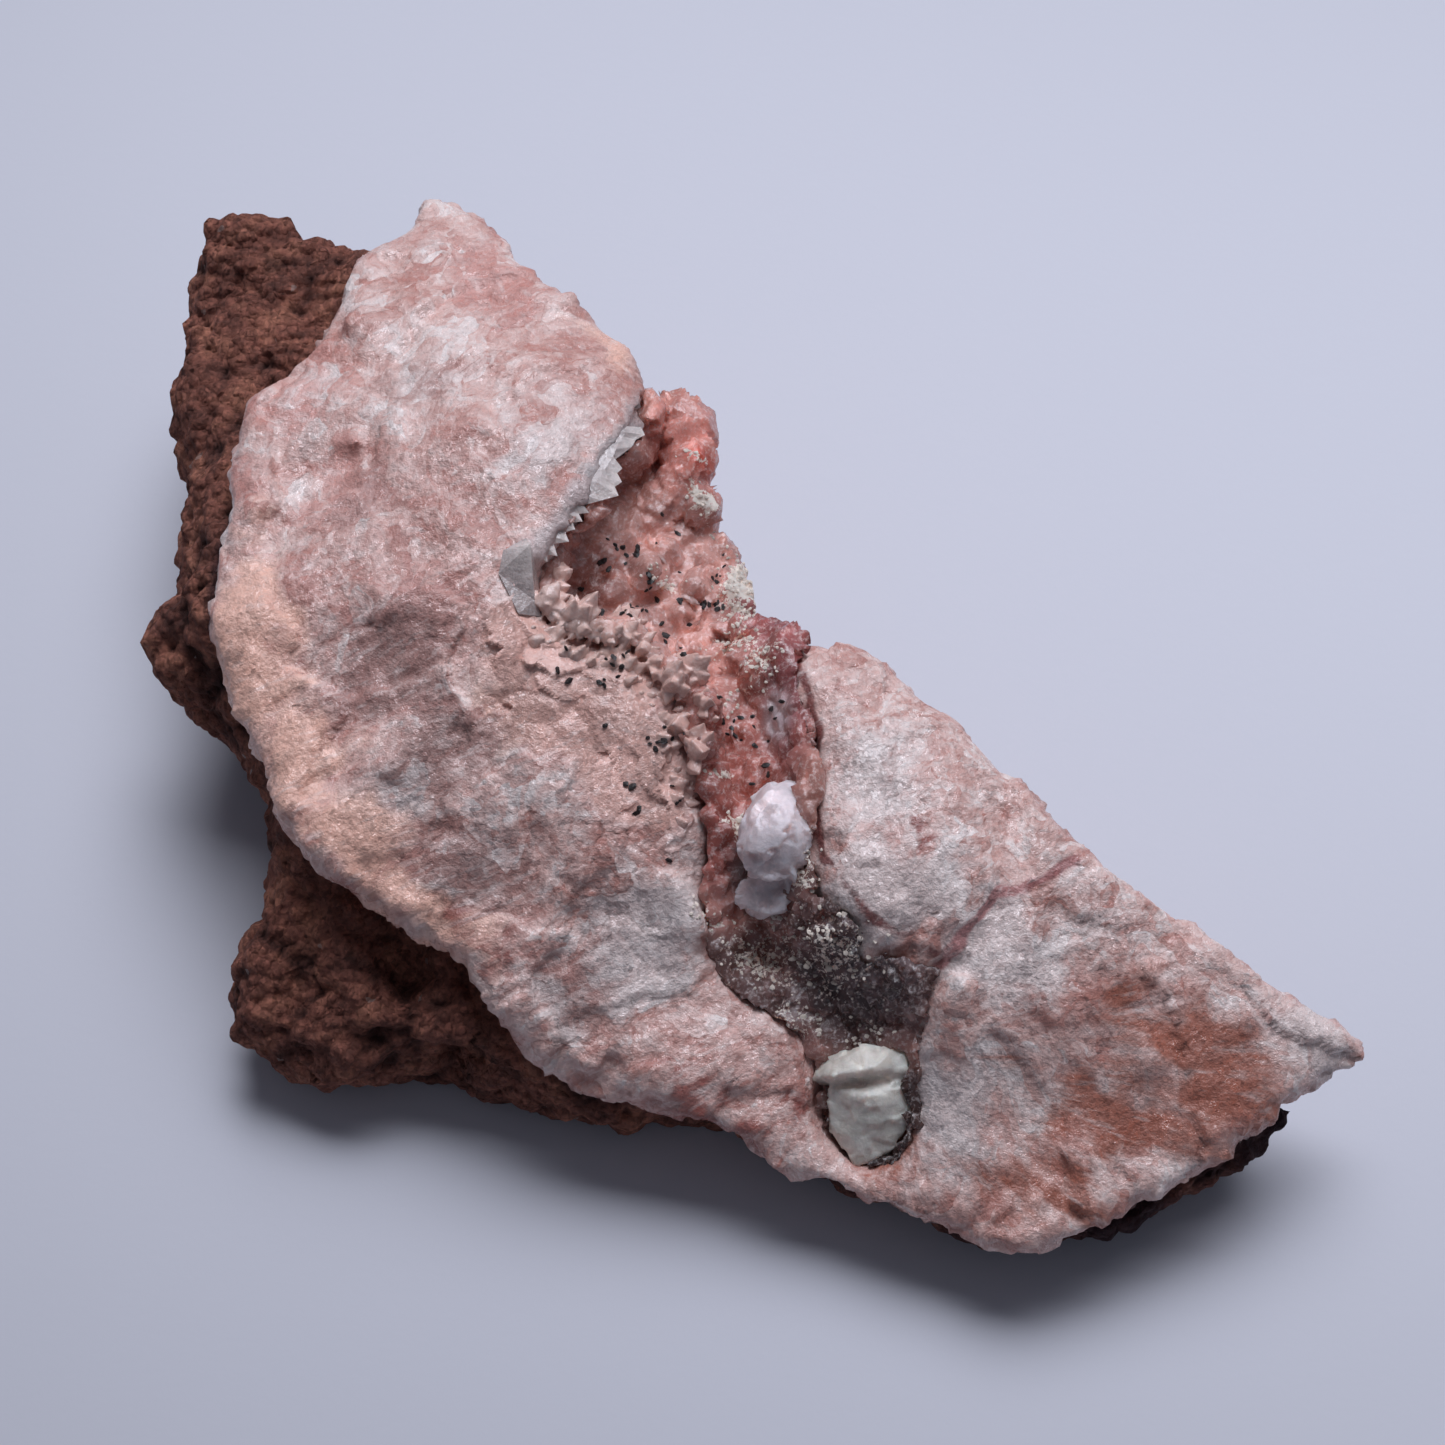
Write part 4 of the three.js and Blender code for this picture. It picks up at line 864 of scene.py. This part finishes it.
rimSettings = {
    "voxel": 0.16,
    "sizes": [0.35, 0.5, 0.65, 0.9],           # half widths in mm
    "basinSpacing": 0.9, "edgeSpacing": 1.1,
    "larger": 1.25,                            # times, on the druse's own edge
    "toward": (0.4, 0.1, 0.2),                 # they lean into the hollow
    "clear": "#f4d2c4", "clearShare": 0.55,
    "quartz": {"clearness": 0.0, "roughness": 0.1, "inner": 0.2, "depth": 0.5, "clouding": 0.1},
}


def crystalMesh(crystals):
    # six-sided prisms with a pointed end; each: place, axis, radius, prism length, tip length, spin
    corners, faces = [], []
    for place, axis, radius, prism, tip, spin in crystals:
        up = np.array(axis, float) / np.linalg.norm(axis)
        side = np.cross(up, sideways)
        side /= np.linalg.norm(side)
        other = np.cross(up, side)
        start = len(corners)
        for level in (-1, 1):
            for corner in range(6):
                angle = spin + corner * sixth
                reach = radius * (1 + 0.13 * math.sin(spin * 5.1 + corner * 2.3))
                # alternate tip faces are larger, so the shoulders step up and down
                height = -radius if level < 0 else prism + (0.16 if corner % 2 else -0.16) * tip
                around = side * math.cos(angle) + other * math.sin(angle)
                corners.append(place + up * height + reach * around)
        offCentre = side * math.sin(spin * 9) + other * math.cos(spin * 7)
        corners.append(place + up * (prism + tip) + 0.16 * radius * offCentre)
        faces.append(tuple(start + c for c in range(5, -1, -1)))
        for corner in range(6):
            after = (corner + 1) % 6
            faces.append((start + corner, start + after, start + 6 + after, start + 6 + corner))
            faces.append((start + 6 + corner, start + 6 + after, start + 12))
    return joinedMesh("crystals", corners, faces)


def buildRimPoints():
    sizes = rimSettings
    rng = np.random.default_rng(37)
    crystals = []
    for ground, normals, chance, spacing, larger in (
            (calcitePoints, calciteNormals, onBasinRim * 0.6, sizes["basinSpacing"], 1.0),
            (drusePoints, druseNormals, onDruseRim * 0.9, sizes["edgeSpacing"], sizes["larger"])):
        for index in scatter(ground, chance, spacing, 29):
            size = rng.choice(sizes["sizes"]) * larger
            axis = normals[index] * 0.9 + np.array(sizes["toward"]) + rng.normal(0, 0.18, 3)
            crystals.append((ground[index] - normals[index] * size * 0.6, axis, size,
                             size * rng.uniform(0.1, 0.6), size * rng.uniform(1.2, 2.0),
                             rng.uniform(0, 6.3)))
    # one skin over crystals that grow through each other, so light travels inside them freely
    mesh = skinOf(bpy.data.objects.new("joined", crystalMesh(crystals)), sizes["voxel"])
    points = pointsOf(mesh)
    share = sizes["clearShare"]
    stained = zoneTint(points, softNoise(points, 1.5, 351) * 0.1)
    store(mesh, "tint", stained * (1 - share) + tintOf(sizes["clear"]) * share)
    quartz = makeQuartzMaterial("clearRimQuartz", **sizes["quartz"])
    return addPiece("rimPoints", mesh, quartz)


rimPoints = buildRimPoints()
print("rim points", len(rimPoints.data.vertices))


# the milky quartz lump and the pale green calcite

lumpSettings = {
    "voxel": 0.24,
    "milkySpacing": 1.4, "milky": "#e9dde0", "milkyFoot": "#cfc5c8",
    "footFrom": -21.5, "footTo": -23.5,        # y in mm, where the milky lump turns greyer
    "milkyEnds": {"slope": (0.3, 0.6), "tip": (0.1, 0.4), "lean": 0.2, "seed": 47},
    "milkyQuartz": {"clearness": 0, "roughness": 0.35, "inner": 0.8, "depth": 2.2, "clouding": 0.12},
    "paleFlake": 1.7, "pale": "#e2dccf", "paleEdge": "#f6f3e8",
    "paleStone": {"clearness": 0.1, "roughness": 0.3, "inner": 0.7, "depth": 1.6, "clouding": 0.12},
}


def buildMilkyLump():
    # a clump of frosty crystal ends, greyer and clearer toward its foot
    sizes = lumpSettings
    mesh, points = remeshed("milky_quartz_crystal", sizes["voxel"], rounds=4)
    normals = unit(blurred(normalsOf(mesh), edgesOf(mesh), 3))
    feet = scatter(points, np.full(len(points), 0.6), sizes["milkySpacing"], 43)
    ends, facets, _ = drusyLift(points, normals, feet, **sizes["milkyEnds"])
    pushOut(mesh, points, normals, np.clip(ends, -0.2, 0.6))
    shadeFacets(mesh, facets, np.full(len(points), 0.8))
    foot = smoothstep(points[:, 1], sizes["footFrom"], sizes["footTo"])[:, None]
    store(mesh, "tint", tintOf(sizes["milky"]) * (1 - foot) + tintOf(sizes["milkyFoot"]) * foot)
    quartz = makeQuartzMaterial("milkyQuartz", **sizes["milkyQuartz"])
    addPiece("milkyLump", mesh, quartz, ["milky_quartz_crystal"])


def buildPaleCalcite():
    # cleaved pale calcite, its curved flakes parted by hairline cracks
    sizes = lumpSettings
    mesh, points = remeshed("pale_calcite_crystal", sizes["voxel"], rounds=3)
    flakes, _, tone = chipped(points, sizes["paleFlake"], 401, 0.16, 0.12)
    pushOut(mesh, points, normalsOf(mesh), flakes + softNoise(points, 0.8, 421, 2) * 0.06)
    edge = smoothstep(tone, 0.3, 0.9)[:, None] * 0.6
    store(mesh, "tint", tintOf(sizes["pale"]) * (1 - edge) + tintOf(sizes["paleEdge"]) * edge)
    calcite = makeQuartzMaterial("paleGreenCalcite", **sizes["paleStone"])
    addPiece("paleCalcite", mesh, calcite, ["pale_calcite_crystal"])


buildMilkyLump()
buildPaleCalcite()
print("lumps")


# loose grains on the druse: iron oxide specks and chalky white crusts

grainSettings = {
    # x, y in mm, seen from above, and the size of the group
    "specks": [(-13, 12, 3), (-14.6, 9.2, 2), (-12, 10, 2), (-17, 6, 2), (-13.8, 4.2, 2),
        (-10.6, 5.4, 4), (-9.2, 6.6, 4), (-8.4, 15, 1), (-6.8, 13.6, 1), (-6.6, 9.6, 1),
        (-4.8, 6, 1), (-2.6, 10, 4), (-3.4, 6.6, 4), (-8.6, 2.2, 2), (-6.4, 0.6, 1),
        (-12.4, -4.6, 4), (-13.4, -7, 3), (-18.2, -6.4, 2), (-13.6, -11, 1), (-9, -12.4, 3),
        (-7.2, -11.6, 3), (-10.4, -16.8, 3), (-7.4, -17, 2), (-7.4, -22.6, 1), (1.4, -14.4, 2),
        (-2, -8.6, 4), (0.4, -9.2, 4), (2, -9, 3), (-6, -4.6, 1), (-15.6, 4, 1), (-10, 11.4, 3),
        (-6, 5, 2), (-12, 0.4, 2)],
    # x, y, half length, half width, turn, grains
    "crusts": [(-0.6, 9.4, 1.7, 4.2, -20, 190), (0.2, 5.6, 2.2, 1.6, 0, 90),
        (-8.2, 7.8, 1.5, 0.9, 0, 45), (-4.4, 16.8, 0.9, 2.0, 30, 50),
        (-0.8, 0.8, 3.0, 2.4, -30, 90), (1.6, -3.4, 2.6, 2.6, 0, 70), (-1.2, -7, 1.2, 1.2, 0, 20),
        (-2.6, -14.6, 1.6, 0.7, 20, 22), (-1.2, -18.6, 1.6, 1.4, 0, 26),
        (1.6, -29.4, 5.0, 3.2, -10, 190), (8.6, -31.6, 5.4, 3.0, -20, 150),
        (12.4, -36.8, 3.0, 1.6, 10, 60), (5.6, -24.6, 1.4, 4.0, 0, 45),
        (-4, -26.6, 2.4, 1.6, 0, 40), (5.4, -35.4, 3.2, 1.4, -30, 40),
        (-5.4, 20.6, 1.4, 0.5, 0, 22)],
    # half lengths in mm, and how far the specks of a group lie apart
    "speckSize": (0.22, 0.55), "crustSize": (0.1, 0.3), "spread": 0.7,
    "speckColour": "#1d1514", "crustColour": "#e6dacd",
}


def crumbMesh(crumbs):
    # small uneven lumps joined in one mesh; each: place, three half sizes, turn, tint
    ring = [(math.cos(a), math.sin(a)) for a in np.linspace(0, 2 * math.pi, 7)[:-1]]
    shape = [(0, 0, -1)] + [(0.85 * c, 0.85 * s, -0.45) for c, s in ring]
    shape += [(0.9 * c, 0.9 * s, 0.4) for c, s in ring] + [(0, 0, 1)]
    shape = np.array(shape)
    corners, faces, tints = [], [], []
    for place, size, turn, tint in crumbs:
        start = len(corners)
        cell = np.floor(place * 50).astype(np.int64)
        uneven = np.array([0.72 + 0.5 * hashed(cell, k + 3) for k in range(len(shape))])
        local = shape * uneven[:, None] * np.array(size)
        around = turned(local[:, 0], local[:, 1], turn)
        corners += list(np.stack([*around, local[:, 2]], 1) + place)
        tints += [tint] * len(shape)
        for corner in range(6):
            low, high = start + 1, start + 7
            after = (corner + 1) % 6
            faces.append((start, low + after, low + corner))
            faces.append((low + corner, low + after, high + after, high + corner))
            faces.append((high + corner, high + after, start + 13))
    return joinedMesh("crumbs", corners, faces, tints)


def makeGrainMaterial(name, roughness, gloss):
    # Fine mineral grains: dull and chalky when white, with a slight sheen when iron oxide
    material, add, place = newMaterial(name)
    tint = add("Attribute", attribute_name="tint")["Color"]
    mottle = add("TexNoise", {"Vector": place, "Scale": 1 / 0.4, "Detail": 3})["Fac"]
    shade = add("MapRange",
                {"Value": mottle, "From Min": 0.3, "From Max": 0.7, "To Min": 0.8,
                 "To Max": 1.1})[0]
    colour = add("VectorMath", {0: tint, 3: shade}, operation="SCALE")[0]
    bump = add("Bump", {"Height": mottle, "Strength": 0.6, "Distance": 0.0002})[0]
    surface = add("BsdfPrincipled",
                  {"Base Color": colour, "Normal": bump, "Roughness": roughness,
                   "Specular IOR Level": gloss})[0]
    add("OutputMaterial", {"Surface": surface})
    return material


def buildGrains():
    sizes = grainSettings
    rng = np.random.default_rng(41)
    ground = searchTree(vugDruse, calciteMass, rimPoints)
    black, white = tintOf(sizes["speckColour"]), tintOf(sizes["crustColour"])
    specks, crusts = [], []
    for x, y, count in sizes["specks"]:
        spread = 0 if count == 1 else sizes["spread"]
        for _ in range(count + count // 2):
            spot = dropped(ground, x + rng.normal(0, spread), y + rng.normal(0, spread))
            if spot is not None:
                long = rng.uniform(*sizes["speckSize"])
                half = (long, long * rng.uniform(0.4, 0.8), long * 0.45)
                specks.append((spot + [0, 0, 0.08], half, rng.uniform(0, 3.1),
                               black * rng.uniform(0.6, 1.6)))
    for x, y, long, wide, turn, count in sizes["crusts"]:
        for _ in range(count // 2):
            aside = turned(rng.normal(0, long * 0.5), rng.normal(0, wide * 0.5), math.radians(turn))
            spot = dropped(ground, x + aside[0], y + aside[1])
            if spot is not None:
                size = rng.uniform(*sizes["crustSize"]) * (1 if rng.random() < 0.85 else 1.5)
                half = (size, size * rng.uniform(0.6, 1), size * rng.uniform(0.4, 0.8))
                crusts.append((spot, half, rng.uniform(0, 3.1), white * rng.uniform(0.8, 1.05)))
    dark = makeGrainMaterial("ironOxideSpecks", 0.45, 0.5)
    chalky = makeGrainMaterial("chalkyWhiteCrust", 0.9, 0.2)
    addPiece("ironSpecks", crumbMesh(specks), dark)
    addPiece("whiteCrusts", crumbMesh(crusts), chalky)
    print("grains", len(specks), len(crusts))


buildGrains()


# floor, light and camera

studioSettings = {
    "floor": "#cfd0d8", "floorHalf": 4,        # metres
    # a soft box in metres and watts; its grid narrows the beam
    "boxPlace": (0.155, 0.245, 0.44), "boxAim": (0.125, 0.035, 0), "boxSize": (0.68, 0.36),
    "boxPower": 0.86, "boxSpread": 60, "lightColour": "#f0f3ff",
    "airColour": "#d3d8ee", "fill": 0.145,
    # the camera in mm
    "lens": 75, "eye": (-2.208, -156.640, 284.710), "aim": (-2.208, -6.119, 24.0),
}


def buildStudio():
    sizes = studioSettings
    mesh = bpy.data.meshes.new("studioFloor")
    half = sizes["floorHalf"]
    corners = [(-half, -half, 0), (half, -half, 0), (half, half, 0), (-half, half, 0)]
    mesh.from_pydata(corners, [], [(0, 1, 2, 3)])
    material, add, place = newMaterial("mattPaper")     # smooth uncoated paper: even and dull
    fine = add("TexNoise", {"Vector": place, "Scale": 1 / 1.2, "Detail": 2})["Fac"]
    bump = add("Bump", {"Height": fine, "Strength": 0.15, "Distance": 0.0001})[0]
    surface = add("BsdfPrincipled",
                  {"Base Color": linear(sizes["floor"]), "Roughness": 0.85, "Normal": bump})[0]
    add("OutputMaterial", {"Surface": surface})
    mesh.materials.append(material)
    floor = bpy.data.objects.new("studioFloor", mesh)
    scene.collection.objects.link(floor)

    light = bpy.data.lights.new("softBox", "AREA")
    light.shape = "RECTANGLE"
    light.size, light.size_y = sizes["boxSize"]
    light.energy = sizes["boxPower"]
    light.spread = math.radians(sizes["boxSpread"])
    light.color = linear(sizes["lightColour"])[:3]
    lamp = bpy.data.objects.new("softBox", light)
    lamp.location = sizes["boxPlace"]
    aim = Vector(sizes["boxAim"]) - lamp.location
    lamp.rotation_euler = aim.to_track_quat("-Z", "Y").to_euler()
    scene.collection.objects.link(lamp)

    world = bpy.data.worlds.new("studioAir")
    scene.world = world
    world.use_nodes = True
    air = world.node_tree.nodes["Background"]
    air.inputs["Color"].default_value = linear(sizes["airColour"])
    air.inputs["Strength"].default_value = sizes["fill"]

    camera = bpy.data.cameras.new("mainCamera")
    camera.lens = sizes["lens"]
    camera.sensor_width = 36
    camera.clip_start = 0.01
    holder = bpy.data.objects.new("mainCamera", camera)
    holder.location = np.array(sizes["eye"]) * mm
    aim = Vector(np.array(sizes["aim"]) * mm) - holder.location
    holder.rotation_euler = aim.to_track_quat("-Z", "Y").to_euler()
    scene.collection.objects.link(holder)
    scene.camera = holder
    scene.view_settings.view_transform = "Standard"


buildStudio()
print("studio")
